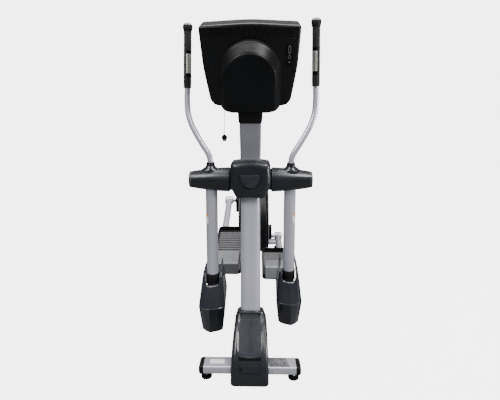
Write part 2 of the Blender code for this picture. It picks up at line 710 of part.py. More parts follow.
def crankset():
    parent = pivot("crank_centre", CRANK_Y, CRANK_Z, CRANK_TILT)
    crank_axle(parent)
    crank_pulley(parent)
    for prefix, side in SIDES:
        crank_disc(prefix, side, parent)
        crank_arm(prefix, side, parent)


def flywheel():
    """Heavy rimmed wheel on its own shaft, with the small belt pulley keyed to it."""
    parent = pivot("flywheel_centre", FLYWHEEL_Y, FLYWHEEL_Z)
    rim = FLYWHEEL_RADIUS
    profile = ((-0.090, 0.0), (-0.090, 0.0085), (0.004, 0.0085), (0.004, 0.030),
               (0.014, 0.032), (0.014, rim - 0.030),
               (0.002, rim - 0.028), (0.002, rim - 0.002), (0.004, rim), (0.038, rim), (0.040, rim - 0.002),
               (0.040, rim - 0.028), (0.028, rim - 0.030), (0.028, 0.032), (0.038, 0.030), (0.038, 0.0085),
               (0.066, 0.0085), (0.066, 0.0))
    wheel = new_object("flywheel", turned(profile, "X", 24))
    profile = ((-0.080, 0.0050), (-0.080, SMALL_PULLEY + 0.005), (-0.077, SMALL_PULLEY + 0.005),
               (-0.076, SMALL_PULLEY), (-0.054, SMALL_PULLEY), (-0.053, SMALL_PULLEY + 0.005),
               (-0.050, SMALL_PULLEY + 0.005), (-0.050, 0.0050))
    weld(wheel, turned(profile, "X", 16))
    dress(wheel, IRON, parent)


def belt_outline(grow):
    return hull((CRANK_Y, CRANK_Z), PULLEY_RADIUS + grow, (FLYWHEEL_Y, FLYWHEEL_Z), SMALL_PULLEY + grow, 24)


def drive_belt():
    """Flat ribbed belt as a closed band round both pulleys."""
    inner = belt_outline(BELT_LIFT)
    outer = belt_outline(BELT_LIFT + BELT_THICK)
    rings = [[(x, *p) for p in outline] for x, outline in
             ((-0.075, inner), (-0.075, outer), (-0.055, outer), (-0.055, inner))]
    part("drive_belt", bridge(bmesh.new(), rings, loop=True), RUBBER)


def idler_place():
    """Centre of the idler, resting on the belt's lower run from outside."""
    dy = FLYWHEEL_Y - CRANK_Y
    dz = FLYWHEEL_Z - CRANK_Z
    along = math.atan2(dz, dy)
    lean = math.acos((PULLEY_RADIUS - SMALL_PULLEY) / math.hypot(dy, dz))
    normal = along - lean
    out = Vector((math.cos(normal), math.sin(normal)))
    start = Vector((CRANK_Y, CRANK_Z)) + out * PULLEY_RADIUS
    end = Vector((FLYWHEEL_Y, FLYWHEEL_Z)) + out * SMALL_PULLEY
    return start.lerp(end, 0.62) + out * (BELT_LIFT + BELT_THICK + GAP + IDLER_RADIUS)


def idler():
    """Tension roller that runs on the bracket's stud."""
    y, z = idler_place()
    parent = pivot("idler_centre", y, z)
    part("idler_pulley", ring("X", -0.075, -0.055, 0.0065, IDLER_RADIUS, 16), BLACK_PLASTIC, parent)


def drive_bracket():
    """Two upright plates on a foot, bored for both shafts, with the idler's stud."""
    foot_z = BEAM_HIGH + GAP
    bracket = new_object("drive_bracket", box((-0.045, 0.056), (CRANK_Y - 0.06, FLYWHEEL_Y + 0.05),
                                              (foot_z, foot_z + 0.006)))
    for low, high in ((-0.045, -0.037), (0.048, 0.056)):
        web = fillet_outline(((CRANK_Y - 0.055, foot_z + 0.001, 0.004),
                              (CRANK_Y - 0.045, CRANK_Z + 0.045, 0.030),
                              (CRANK_Y + 0.045, CRANK_Z + 0.045, 0.030),
                              (FLYWHEEL_Y + 0.035, FLYWHEEL_Z + 0.035, 0.020),
                              (FLYWHEEL_Y + 0.045, foot_z + 0.001, 0.004)), 4)
        weld(bracket, prism(web, "X", low, high))
    weld(bracket, disc("X", -0.078, -0.040, 0.0060, 16, (0.0, *idler_place())))
    carve(bracket, disc("X", -0.1, 0.1, 0.0263, 24, (0.0, CRANK_Y, CRANK_Z)))
    carve(bracket, disc("X", -0.1, 0.1, 0.0090, 24, (0.0, FLYWHEEL_Y, FLYWHEEL_Z)))
    dress(bracket, GREY_PAINT)


def crank_bearings():
    """Two ball bearings for the crank axle, in the bracket's plates."""
    for prefix, middle in (("right", -0.041), ("left", 0.052)):
        bearing = ring("X", middle - 0.005, middle + 0.005, 0.0153, 0.0260, 16, (0.0, CRANK_Y, CRANK_Z))
        part(prefix + "_crank_bearing", bearing, STEEL)


def housing_outline(inset=0.0):
    """Side view of the housing: round at the cranks, drawn down and back, flat on the beam."""
    low = BEAM_HIGH + GAP + inset
    points = hull((CRANK_Y, CRANK_Z), HOUSING_RADIUS - inset,
                  (FLYWHEEL_Y + 0.01, FLYWHEEL_Z), 0.150 - inset, 20)
    return [(y, max(low, z)) for y, z in points]


def merge_level(points):
    """Drop the inner points of a level run."""
    lowest = min(z for _, z in points)
    kept = []
    for i, point in enumerate(points):
        flat = all(abs(p[1] - lowest) < 1e-6 for p in (points[i - 1], point, points[(i + 1) % len(points)]))
        if not flat:
            kept.append(point)
    return kept


def housing_shells():
    """Two dished halves that meet on the middle plane."""
    outer = merge_level(housing_outline())
    inner = merge_level(housing_outline(0.003))
    for prefix, side in SIDES:
        span = sorted((side * GAP / 2, side * HOUSING_HALF))
        shell = new_object(prefix + "_housing", prism(outer, "X", *span))
        hollow = sorted((-side * 0.010, side * (HOUSING_HALF - 0.003)))
        carve(shell, prism(inner, "X", *hollow))
        carve(shell, disc("X", -0.2, 0.2, 0.022, 24, (0.0, CRANK_Y, CRANK_Z)))
        carve(shell, box((-0.060, 0.060), (CRANK_Y - 0.064, FLYWHEEL_Y + 0.054), (0.10, BEAM_HIGH + 0.010)))
        dress(shell, BLACK_PLASTIC)


# ---------------------------------------------------------------- console, built with its back plane at y = 0
def console_outline(inset=0.0):
    """Front view: slightly arched top, sides drawing in to rounded lower corners."""
    half = 0.2475 - inset
    waist = 0.2360 - inset
    foot = 0.2030 - inset
    top = 0.197 - inset
    low = -0.210 + inset
    return fillet_outline(((half, top, 0.016), (0.0, top + 0.013, 1.2), (-half, top, 0.016),
                           (-waist, 0.0, 0.8), (-foot, low, 0.055), (foot, low, 0.055),
                           (waist, 0.0, 0.8)), 4)


def console_rings(stations):
    """Sections (depth, inset, slope) of the console; a slope leans a section with height."""
    return [[(x, depth + slope * z, z) for x, z in console_outline(inset)] for depth, inset, slope in stations]


def console_back_shell(parent):
    shell = new_object("console_back_shell", bridge(bmesh.new(), console_rings(
        ((0.0, 0.005, 0.0), (0.004, 0.001, 0.0), (0.010, 0.0, 0.0), (0.060, 0.0, 0.0)))))
    carve(shell, bridge(bmesh.new(), console_rings(((0.003, 0.004, 0.0), (0.070, 0.004, 0.0)))))
    dress(shell, BLACK_PLASTIC, parent)


def console_front_bezel(parent):
    """Deep hood and frame on the user's side, with two openings."""
    bezel = new_object("console_front_bezel", bridge(bmesh.new(), console_rings(
        ((0.060 + GAP, 0.0, 0.0), (0.108, 0.0, FACE_SLOPE), (0.115, 0.006, FACE_SLOPE)))))
    carve(bezel, bridge(bmesh.new(), console_rings(((0.050, 0.004, 0.0), (0.111, 0.004, FACE_SLOPE)))))
    carve(bezel, box((-0.165, 0.165), (0.06, 0.20), (-0.010, 0.155)))
    carve(bezel, box((-0.165, 0.165), (0.06, 0.20), (-0.160, -0.030)))
    dress(bezel, BLACK_PLASTIC, parent)


def face_plate(x, z, low, high, radius=0.003):
    """Thin plate let into the user's face between heights z."""
    middle = ((x[0] + x[1]) / 2, (z[0] + z[1]) / 2)
    outline = rounded_rect(x[1] - x[0] - 2 * GAP, z[1] - z[0] - 2 * GAP, radius, 2)
    return bridge(bmesh.new(), [[(middle[0] + a, depth + FACE_SLOPE * (middle[1] + b), middle[1] + b)
                                 for a, b in outline] for depth in (low, high)])


def display_window(parent):
    part("display_window", face_plate((-0.165, 0.165), (-0.010, 0.155), 0.1115, 0.1145), GLASS, parent)


def key_shape(x, z, radius, low, high, rounding):
    """Round key whose ends follow the sloping face."""
    sections = ((low, 0.0), (high - rounding, 0.0), (high, rounding))
    return bridge(bmesh.new(), [[(x + a, depth + FACE_SLOPE * (z + b), z + b)
                                 for a, b in circle(radius - inset, 14)] for depth, inset in sections])


def keypad_panel(parent):
    panel = new_object("keypad_panel", face_plate((-0.165, 0.165), (-0.160, -0.030), 0.1115, 0.1140))
    for _, x, z in KEYS:
        carve(panel, key_shape(x, z, KEY_RADIUS + 0.0006, 0.10, 0.13, 0.0))
    dress(panel, DARK_PLASTIC, parent)


def keys():
    """Three keys, each with its parent empty on its own line of travel."""
    for name, x, z in KEYS:
        y = 0.114 + FACE_SLOPE * z
        place = console_matrix() @ Vector((x, y, z))
        parent = pivot(name + "_slide", place.y, place.z, CONSOLE_TILT, place.x)
        bm = key_shape(x, z, KEY_RADIUS, 0.1070, 0.1165, 0.0010)
        bmesh.ops.translate(bm, verts=bm.verts, vec=(-x, -y, -z))
        part(name, bm, PALE_PLASTIC, parent)


def connector_panel(parent):
    outline = [(0.192 + a, 0.058 + b) for a, b in rounded_rect(0.036, 0.108, 0.003, 2)]
    part("connector_panel", prism(outline, "Y", -0.0022, -GAP), DARK_PLASTIC, parent)


def dome_outline(inset=0.0):
    """Round-topped front view of the cover over the post's head."""
    radius = 0.153 - inset
    centre = -0.018
    low = -0.226 + 0.35 * inset
    arc = [(radius * math.cos(math.pi * i / 16), centre + radius * math.sin(math.pi * i / 16))
           for i in range(17)]
    corner = 0.050
    left = [(-radius + corner - corner * math.cos(math.pi / 2 * i / 5),
             low + corner - corner * math.sin(math.pi / 2 * i / 5)) for i in range(6)]
    right = [(-x, z) for x, z in reversed(left)]
    return arc + left + right


def dome_rings(stations):
    return [[(x, depth, z) for x, z in dome_outline(inset)] for depth, inset in stations]


def dome_cover(parent):
    """Shell with a window behind for the post's head and a hole below for the post."""
    dome = new_object("dome_cover", bridge(bmesh.new(), dome_rings(
        ((-0.0005, 0.001), (-0.004, 0.0), (-0.045, 0.002), (-0.074, 0.010), (-0.091, 0.021), (-0.100, 0.031)))))
    carve(dome, bridge(bmesh.new(), dome_rings(
        ((-0.0045, 0.004), (-0.045, 0.006), (-0.072, 0.014), (-0.088, 0.025), (-0.096, 0.035)))))
    carve(dome, box((-0.09, 0.09), (-0.02, 0.02), (-0.17, 0.06)))
    hole = bridge(bmesh.new(), neck_rings(0.0015))
    bmesh.ops.transform(hole, matrix=console_matrix().inverted(), verts=hole.verts)
    carve(dome, hole)
    dress(dome, BLACK_PLASTIC, parent)


def neck_head():
    """Block at the top of the post that the console's back bolts to."""
    head = box((-0.055, 0.055), (-0.045, -0.0005), (-0.155, -0.050))
    bmesh.ops.transform(head, matrix=console_matrix(), verts=head.verts)
    return head


def cord_gland(parent):
    profile = ((-0.2104, 0.0020), (-0.2104, 0.0075), (-0.2150, 0.0070), (-0.2220, 0.0035), (-0.2220, 0.0020))
    gland = turned(profile, "Z", 12, (CORD_X, CORD_DEPTH, 0.0))
    part("cord_gland", gland, RUBBER, parent)


def cord_route():
    """From the gland's mouth, turning down and hanging straight to the plug."""
    mouth = console_matrix() @ Vector((CORD_X, CORD_DEPTH, -0.2220 - GAP))
    drops = ((0.0, 0.0), (0.0036, -0.009), (0.0062, -0.022), (0.0070, -0.045), (0.0066, -0.080),
             (0.0062, -0.115), (0.0062, -0.1450))
    return smooth_route([mouth + Vector((0.0, y, z)) for y, z in drops], 4)


def dock_cord():
    """Free cord as a round tube along its route."""
    route = cord_route()
    curve = bpy.data.curves.new("dock_cord", "CURVE")
    curve.dimensions = "3D"
    curve.bevel_depth = CORD_RADIUS
    curve.bevel_resolution = 2
    curve.use_fill_caps = True
    line = curve.splines.new("POLY")
    line.points.add(len(route) - 1)
    for point, place in zip(line.points, route):
        point.co = (*place, 1.0)
    cord = bpy.data.objects.new("dock_cord", curve)
    bpy.context.collection.objects.link(cord)
    curve.materials.append(finish("dock_cord", *RUBBER))


def dock_plug():
    """Flat moulded plug with a narrower contact tongue below."""
    end = cord_route()[-1]
    top = end.z - GAP
    rings = []
    for drop, width, depth in ((0.0, 0.012, 0.006), (0.006, 0.022, 0.008), (0.010, 0.030, 0.0085),
                               (0.024, 0.028, 0.0085), (0.026, 0.026, 0.007)):
        rings.append([(end.x + a, end.y + b, top - drop) for a, b in rounded_rect(width, depth, 0.0025, 2)])
    plug = new_object("dock_plug", bridge(bmesh.new(), rings))
    weld(plug, box((end.x - 0.0105, end.x + 0.0105), (end.y - 0.0018, end.y + 0.0018),
                   (top - 0.037, top - 0.020)))
    dress(plug, BLACK_PLASTIC)


def console_matrix():
    return Matrix.Translation((0.0, CONSOLE_Y, CONSOLE_Z)) @ Matrix.Rotation(CONSOLE_TILT, 4, "X")


def console():
    parent = pivot("console_mount", CONSOLE_Y, CONSOLE_Z, CONSOLE_TILT)
    for make in (console_back_shell, console_front_bezel, display_window, keypad_panel,
                 connector_panel, dome_cover, cord_gland):
        make(parent)
    keys()
    dock_cord()
    dock_plug()


def main():
    clear_scene()
    for make in (stabilisers, levelling_feet, base_beam, mast, neck, foot_cover,
                 cross_bar, cross_bar_covers, blank_badge, linkage, crankset, flywheel, drive_belt,
                 idler, drive_bracket, crank_bearings, housing_shells, console):
        make()


main()
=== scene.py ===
"""Builds the finished surface of a rear-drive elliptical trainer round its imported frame."""
import json
import math

import bmesh
import bpy
from bpy.props import FloatProperty, FloatVectorProperty, IntProperty, PointerProperty
from mathutils import Matrix, Vector


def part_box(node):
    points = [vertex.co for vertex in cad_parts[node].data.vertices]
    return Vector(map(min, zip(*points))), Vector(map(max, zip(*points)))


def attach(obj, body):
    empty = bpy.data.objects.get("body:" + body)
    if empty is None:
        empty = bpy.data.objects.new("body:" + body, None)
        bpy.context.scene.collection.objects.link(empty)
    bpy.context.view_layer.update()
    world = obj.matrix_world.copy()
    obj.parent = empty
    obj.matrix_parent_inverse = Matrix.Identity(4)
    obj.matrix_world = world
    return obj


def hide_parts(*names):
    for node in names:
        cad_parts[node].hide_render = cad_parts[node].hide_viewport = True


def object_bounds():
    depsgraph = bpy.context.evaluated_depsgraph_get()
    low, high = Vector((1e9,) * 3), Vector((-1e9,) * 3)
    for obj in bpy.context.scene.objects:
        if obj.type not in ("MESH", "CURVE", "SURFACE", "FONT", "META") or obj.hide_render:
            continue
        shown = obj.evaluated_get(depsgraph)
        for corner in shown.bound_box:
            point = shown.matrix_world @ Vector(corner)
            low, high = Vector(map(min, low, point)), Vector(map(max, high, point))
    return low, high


bl_info = {
    "name": "Elliptical Trainer Builder",
    "version": (1, 0, 0),
    "blender": (4, 5, 0),
    "location": "3D View > Sidebar > Trainer",
    "description": "Builds the shells, tubes, grips, console and finishes of an elliptical trainer",
    "category": "Add Mesh",
}

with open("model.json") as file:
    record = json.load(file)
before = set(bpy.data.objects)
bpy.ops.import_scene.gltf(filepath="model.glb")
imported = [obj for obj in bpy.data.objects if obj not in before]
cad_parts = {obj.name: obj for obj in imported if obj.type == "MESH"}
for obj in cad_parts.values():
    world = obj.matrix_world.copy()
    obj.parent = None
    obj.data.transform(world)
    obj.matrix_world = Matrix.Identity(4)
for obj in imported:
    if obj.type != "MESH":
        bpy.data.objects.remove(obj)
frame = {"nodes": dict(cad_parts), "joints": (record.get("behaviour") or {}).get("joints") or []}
cad_low, cad_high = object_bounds()

SIDES = (("right", -1), ("left", 1))        # the user's own sides; the user's right is at -X
FINISHES = {}                               # finish name: material, filled by the finishes operator


# ---------------------------------------------------------------- places read from the frame
def anchor(joint):
    """Where a joint turns, in the row frame."""
    return Vector(next(j["pos_m"] for j in frame["joints"] if j["name"] == joint))


def arm_place(prefix):
    """Frame of a swing arm: origin on the cross bar's axis, Z up the arm."""
    bar = anchor(prefix + "_arm_swing")
    low = anchor(prefix + "_beam_pivot")
    return Matrix.Translation(bar) @ Matrix.Rotation(math.atan2(low.y - bar.y, bar.z - low.z), 4, "X")


def crank_pin(prefix, side):
    """Centre of a crank pin, found from the round end of its crank arm."""
    low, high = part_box(prefix + "_crank_arm")
    radius = bpy.context.scene.trainer_sizes.crank_arm_radius
    if side > 0:
        return Vector((0.0, high.y - radius, low.z + radius))
    return Vector((0.0, low.y + radius, high.z - radius))


def crank_place():
    """Frame of the crankset: Z towards the pin on the user's right."""
    centre = anchor("crank_turn")
    pin = crank_pin("right", -1)
    return Matrix.Translation(centre) @ Matrix.Rotation(math.atan2(centre.y - pin.y, pin.z - centre.z), 4, "X")


def beam_place(prefix, side):
    """Frame of a pedal beam: origin at the lower pivot, Y along the beam."""
    low = anchor(prefix + "_beam_pivot")
    pin = crank_pin(prefix, side)
    return Matrix.Translation(low) @ Matrix.Rotation(math.atan2(pin.z - low.z, pin.y - low.y), 4, "X")


def console_place():
    """Frame of the console: origin in the middle of its back plane, Z up its face."""
    push = Vector(next(j["axis"] for j in frame["joints"] if j["name"] == "start_key_press"))
    turn = Matrix.Rotation(math.atan2(-push.z, -push.y), 4, "X")
    back = turn.inverted()
    points = [back @ v.co for v in frame["nodes"]["console_back_shell"].data.vertices]
    height = bpy.context.scene.trainer_sizes.console_drop
    return turn @ Matrix.Translation((0.0, min(p.y for p in points), min(p.z for p in points) + height))


# ---------------------------------------------------------------- outlines and meshes
def catmull(rows, steps):
    """Smooth rows of numbers, with even steps between each two given rows."""
    rows = [tuple(row) for row in rows]
    ends = [tuple(2 * a - b for a, b in zip(rows[0], rows[1])), *rows,
            tuple(2 * a - b for a, b in zip(rows[-1], rows[-2]))]
    made = []
    for a, b, c, d in zip(ends, ends[1:], ends[2:], ends[3:]):
        for step in range(steps):
            t = step / steps
            made.append(tuple(0.5 * (2 * q + (r - p) * t + (2 * p - 5 * q + 4 * r - s) * t * t
                                     + (3 * q - p - 3 * r + s) * t ** 3)
                              for p, q, r, s in zip(a, b, c, d)))
    made.append(rows[-1])
    return made


def rounded_rect(width, depth, radius, steps=8):
    """Outline of a rectangle with round corners, about the origin."""
    points = []
    for quarter, (sx, sy) in enumerate(((1, 1), (-1, 1), (-1, -1), (1, -1))):
        for step in range(steps + 1):
            angle = math.pi / 2 * (quarter + step / steps)
            points.append((sx * (width / 2 - radius) + radius * math.cos(angle),
                           sy * (depth / 2 - radius) + radius * math.sin(angle)))
    return points


def circle(radius, segments=48):
    """Outline of a circle about the origin."""
    return [(radius * math.cos(math.tau * i / segments), radius * math.sin(math.tau * i / segments))
            for i in range(segments)]


def hull(c1, r1, c2, r2, steps=40):
    """Outline of a belt round two circles."""
    dx = c2[0] - c1[0]
    dy = c2[1] - c1[1]
    along = math.atan2(dy, dx)
    lean = math.acos((r1 - r2) / math.hypot(dx, dy))
    points = []
    for centre, radius, start, sweep in ((c1, r1, along + lean, math.tau - 2 * lean),
                                         (c2, r2, along - lean, 2 * lean)):
        for i in range(steps + 1):
            angle = start + sweep * i / steps
            points.append((centre[0] + radius * math.cos(angle), centre[1] + radius * math.sin(angle)))
    return points


def shifted(points, x, y):
    """Outline moved across and up."""
    return [(x + a, y + b) for a, b in points]


def sided(profile, side):
    """Profile along X, mirrored for a side."""
    return [(side * along, radius) for along, radius in profile]


def centre_of(low, high):
    """Middle of a box."""
    return (low + high) / 2


def fillet_outline(corners, steps=8):
    """Polygon with each (x, y, radius) corner rounded."""
    points = []
    for i, (x, y, radius) in enumerate(corners):
        here = Vector((x, y))
        back = (Vector(corners[i - 1][:2]) - here).normalized()
        ahead = (Vector(corners[(i + 1) % len(corners)][:2]) - here).normalized()
        half = math.acos(max(-1.0, min(1.0, back.dot(ahead)))) / 2
        centre = here + (back + ahead).normalized() * radius / math.sin(half)
        first = here + back * radius / math.tan(half) - centre
        turn = first.angle_signed(here + ahead * radius / math.tan(half) - centre)
        for step in range(steps + 1):
            angle = -turn * step / steps
            points.append((centre.x + first.x * math.cos(angle) - first.y * math.sin(angle),
                           centre.y + first.x * math.sin(angle) + first.y * math.cos(angle)))
    return points


def round_over(low, high, inset, steps=6):
    """(position, inset) pairs of a quarter round from the full size at low to inset at high."""
    turns = [math.pi / 2 * i / steps for i in range(steps + 1)]
    return [(low + (high - low) * math.sin(turn), inset * (1 - math.cos(turn))) for turn in turns]


def loft(rings, bm=None, loop=False, capped=True):
    """Skin through rings of equal length."""
    bm = bm or bmesh.new()
    made = [[bm.verts.new(point) for point in ring] for ring in rings]
    pairs = list(zip(made, made[1:]))
    if loop:
        pairs.append((made[-1], made[0]))
    for one, two in pairs:
        for i in range(len(one)):
            j = (i + 1) % len(one)
            bm.faces.new((one[i], one[j], two[j], two[i]))
    if capped and not loop:
        bm.faces.new(made[0][::-1])
        bm.faces.new(made[-1])
    return bm


def grid(rows, bm=None):
    """Open skin through rows of equal length."""
    bm = bm or bmesh.new()
    made = [[bm.verts.new(point) for point in row] for row in rows]
    for one, two in zip(made, made[1:]):
        for i in range(len(one) - 1):
            bm.faces.new((one[i], one[i + 1], two[i + 1], two[i]))
    return bm


def slab(rows, thickness, bm=None):
    """Closed plate whose front is a grid of points and whose back lies behind it by a vector."""
    shift = Vector(thickness)
    return loft([[Vector(p) for p in row] + [Vector(p) + shift for p in reversed(row)] for row in rows], bm)


def placed(axis, along, u, v):
    """Point at a distance along an axis, and u and v across it."""
    return {"X": (along, u, v), "Y": (v, along, u), "Z": (u, v, along)}[axis]


def turned(profile, axis="Z", segments=64, centre=(0.0, 0.0, 0.0), bm=None):
    """Closed (axial, radius) profile turned about an axis; radius 0 ends on the axis."""
    bm = bm or bmesh.new()
    middle = Vector(centre)
    rings = []
    for axial, radius in profile:
        if radius == 0.0:
            rings.append([bm.verts.new(Vector(placed(axis, axial, 0.0, 0.0)) + middle)])
        else:
            rings.append([bm.verts.new(Vector(placed(axis, axial, u, v)) + middle)
                          for u, v in circle(radius, segments)])
    for one, two in zip(rings, rings[1:] + rings[:1]):
        if len(one) == len(two) == 1:
            continue
        for i in range(segments):
            j = (i + 1) % segments
            corners = [one[i % len(one)], one[j % len(one)], two[j % len(two)], two[i % len(two)]]
            bm.faces.new(list(dict.fromkeys(corners)))
    return bm


def prism(outline, axis, low, high, bm=None):
    """Outline extruded along an axis; its points read (y, z), (x, z) or (x, y)."""
    place = {"X": lambda a, p: (a, p[0], p[1]),
             "Y": lambda a, p: (p[0], a, p[1]),
             "Z": lambda a, p: (p[0], p[1], a)}[axis]
    return loft([[place(end, p) for p in outline] for end in (low, high)], bm)


def brick(x, y, z, bm=None):
    """Box between (low, high) pairs."""
    return prism([(x[0], y[0]), (x[1], y[0]), (x[1], y[1]), (x[0], y[1])], "Z", z[0], z[1], bm)


def tube_rings(route, radii, segments=28, arc=None):
    """Rings, or arcs (start, span), square to a route in or near the XZ plane."""
    start, span = arc or (0.0, math.tau)
    count = segments if arc is None else segments + 1
    rings = []
    for i, point in enumerate(route):
        tangent = (route[min(i + 1, len(route) - 1)] - route[max(i - 1, 0)]).normalized()
        side = tangent.cross(Vector((0.0, 1.0, 0.0))).normalized()
        front = side.cross(tangent)
        rings.append([point + (side * math.cos(start + span * k / segments)
                               + front * math.sin(start + span * k / segments)) * radii[i]
                      for k in range(count)])
    return rings


def moved(bm, matrix):
    """The mesh itself, placed by a matrix."""
    bmesh.ops.transform(bm, matrix=matrix, verts=bm.verts)
    return bm


def piece(name, bm, finish, body, stands_for=(), place=None, sharp=32.0, bevel=0.0, shell=0.0):
    """A finished object from a mesh, riding on its body and standing for CAD nodes."""
    if place is not None:
        moved(bm, place)
    bmesh.ops.recalc_face_normals(bm, faces=bm.faces)
    mesh = bpy.data.meshes.new(name)
    bm.to_mesh(mesh)
    bm.free()
    mesh.materials.append(FINISHES[finish])
    mesh.shade_smooth()
    obj = bpy.data.objects.new(name, mesh)
    bpy.context.scene.collection.objects.link(obj)
    if shell:
        thick = obj.modifiers.new("shell", "SOLIDIFY")
        thick.thickness = shell
        thick.offset = -1.0
    if bevel:
        rounding = obj.modifiers.new("rounding", "BEVEL")
        rounding.width = bevel
        rounding.segments = 3
        rounding.limit_method = "ANGLE"
        rounding.angle_limit = math.radians(40.0)
        rounding.harden_normals = True
    else:
        mesh.set_sharp_from_angle(angle=math.radians(sharp))
    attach(obj, body)
    if stands_for:
        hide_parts(*stands_for)
    return obj


def carve(obj, cutter_bm):
    """Cut a shape out of a piece and keep the result in its mesh."""
    bmesh.ops.recalc_face_normals(cutter_bm, faces=cutter_bm.faces)
    mesh = bpy.data.meshes.new("cutter")
    cutter_bm.to_mesh(mesh)
    cutter_bm.free()
    cutter = bpy.data.objects.new("cutter", mesh)
    bpy.context.scene.collection.objects.link(cutter)
    cut = obj.modifiers.new("cut", "BOOLEAN")
    cut.solver = "EXACT"
    cut.object = cutter
    obj.modifiers.move(len(obj.modifiers) - 1, 0)
    others = [m for m in obj.modifiers if m != cut]
    for modifier in others:
        modifier.show_viewport = False
    graph = bpy.context.evaluated_depsgraph_get()
    result = bpy.data.meshes.new_from_object(obj.evaluated_get(graph), depsgraph=graph)
    obj.modifiers.remove(cut)
    obj.data = result
    for modifier in others:
        modifier.show_viewport = True
    if not others:
        result.set_sharp_from_angle(angle=math.radians(32.0))
    bpy.data.objects.remove(cutter, do_unlink=True)
    return obj


def merge(whole, part):
    """Add one mesh to another."""
    mesh = bpy.data.meshes.new("part")
    part.to_mesh(mesh)
    part.free()
    whole.from_mesh(mesh)
    bpy.data.meshes.remove(mesh)
    return whole


def local_box(node, place):
    """Box of a CAD node in a body's own frame."""
    back = place.inverted()
    points = [back @ v.co for v in frame["nodes"][node].data.vertices]
    return (Vector([min(p[i] for p in points) for i in range(3)]),
            Vector([max(p[i] for p in points) for i in range(3)]))


def screw_head(radius, height, bm=None, centre=(0.0, 0.0, 0.0)):
    """Round head with a socket, facing +Z."""
    profile = ((0.0, 0.0), (0.0, radius), (height * 0.6, radius), (height, radius * 0.72), (height, radius * 0.42),
               (height * 0.35, radius * 0.38), (height * 0.35, 0.0))
    return turned(profile, "Z", 20, centre, bm)


def facing(position, direction):
    """Frame at a position whose Z points along a direction."""
    return Matrix.Translation(position) @ Vector(direction).to_track_quat("Z", "Y").to_matrix().to_4x4()


# ---------------------------------------------------------------- shader effects shared by the finishes
class Graph:
    """Short way to add nodes to a tree and join them."""

    def __init__(self, tree):
        self.tree = tree

    def add(self, kind, settings=None, **inputs):
        node = self.tree.nodes.new(kind)
        for key, value in (settings or {}).items():
            setattr(node, key, value)
        for key, value in inputs.items():
            numbered = key[0] == "i" and key[1:].isdigit()
            self.feed(node.inputs[int(key[1:])] if numbered else node.inputs[key], value)
        return node

    def feed(self, socket, value):
        """Link another socket into this one, or set its value."""
        if isinstance(value, bpy.types.NodeSocket):
            self.tree.links.new(value, socket)
        else:
            socket.default_value = value

    def math(self, operation, a, b=0.0, clamp=False):
        return self.add("ShaderNodeMath", {"operation": operation, "use_clamp": clamp}, i0=a, i1=b).outputs[0]

    def ramp(self, value, low, high, out_low=0.0, out_high=1.0):
        return self.add("ShaderNodeMapRange", {"clamp": True}, i0=value, i1=low, i2=high, i3=out_low,
                        i4=out_high).outputs[0]

    def mix(self, factor, a, b):
        node = self.add("ShaderNodeMix", {"data_type": "RGBA"})
        for number, value in ((0, factor), (6, a), (7, b)):
            self.feed(node.inputs[number], value)
        return node.outputs[2]

    def object_place(self):
        return self.add("ShaderNodeTexCoord").outputs["Object"]

    def noise(self, where, scale, **more):
        return self.add("ShaderNodeTexNoise", Vector=where, Scale=scale, **more).outputs[0]

    def link(self, a, b):
        self.tree.links.new(a, b)


def new_group(name, inputs, outputs):
    """Empty shader node group with float inputs (name, default) and float outputs."""
    tree = bpy.data.node_groups.new(name, "ShaderNodeTree")
    for label, default in inputs:
        tree.interface.new_socket(name=label, in_out="INPUT", socket_type="NodeSocketFloat").default_value = default
    for label in outputs:
        tree.interface.new_socket(name=label, in_out="OUTPUT", socket_type="NodeSocketFloat")
    return tree, Graph(tree), tree.nodes.new("NodeGroupInput"), tree.nodes.new("NodeGroupOutput")


def grain_group():
    """Fine moulded or sprayed grain as a height, and slow mottling as a mask."""
    tree, g, given, out = new_group("Surface Grain", (("Scale", 400.0), ("Mottle Scale", 6.0)), ("Height", "Mottle"))
    where = g.object_place()
    g.link(g.noise(where, given.outputs[0], Detail=3.0, Roughness=0.6), out.inputs[0])
    slow = g.noise(where, given.outputs[1], Detail=4.0, Roughness=0.55)
    g.link(g.ramp(slow, 0.35, 0.65), out.inputs[1])
    return tree


def wear_group():
    """Mask of rubbed convex edges, broken up by noise."""
    tree, g, given, out = new_group("Edge Wear", (("Amount", 0.5), ("Break Up", 60.0)), ("Mask",))
    edge = g.ramp(g.add("ShaderNodeNewGeometry").outputs["Pointiness"], 0.515, 0.60)
    patch = g.noise(g.object_place(), given.outputs[1], Detail=3.0)
    broken = g.math("MULTIPLY", edge, g.ramp(patch, 0.38, 0.62))
    g.link(g.math("MULTIPLY", broken, given.outputs[0], clamp=True), out.inputs[0])
    return tree


def dust_group():
    """Mask of light dust that settles on faces turned up."""
    tree, g, given, out = new_group("Settled Dust", (("Amount", 0.3),), ("Mask",))
    normal = g.add("ShaderNodeSeparateXYZ", Vector=g.add("ShaderNodeNewGeometry").outputs["Normal"]).outputs[2]
    patch = g.noise(g.object_place(), 14.0, Detail=6.0, Roughness=0.7)
    settled = g.math("MULTIPLY", g.ramp(normal, 0.35, 1.0), g.ramp(patch, 0.3, 0.75))
    g.link(g.math("MULTIPLY", settled, given.outputs[0], clamp=True), out.inputs[0])
    return tree


def scuff_group():
    """Mask of fine drawn-out scuffs along one axis of the piece."""
    tree, g, given, out = new_group("Drawn Scuffs", (("Scale", 30.0), ("Stretch", 12.0)), ("Mask",))
    where = g.add("ShaderNodeSeparateXYZ", Vector=g.object_place())
    across = [g.math("MULTIPLY", where.outputs[i], given.outputs[1]) for i in (0, 1)]
    drawn = g.add("ShaderNodeCombineXYZ", X=across[0], Y=across[1], Z=where.outputs[2])
    lines = g.noise(drawn.outputs[0], given.outputs[0], Detail=5.0, Roughness=0.7)
    g.link(g.ramp(lines, 0.58, 0.72), out.inputs[0])
    return tree


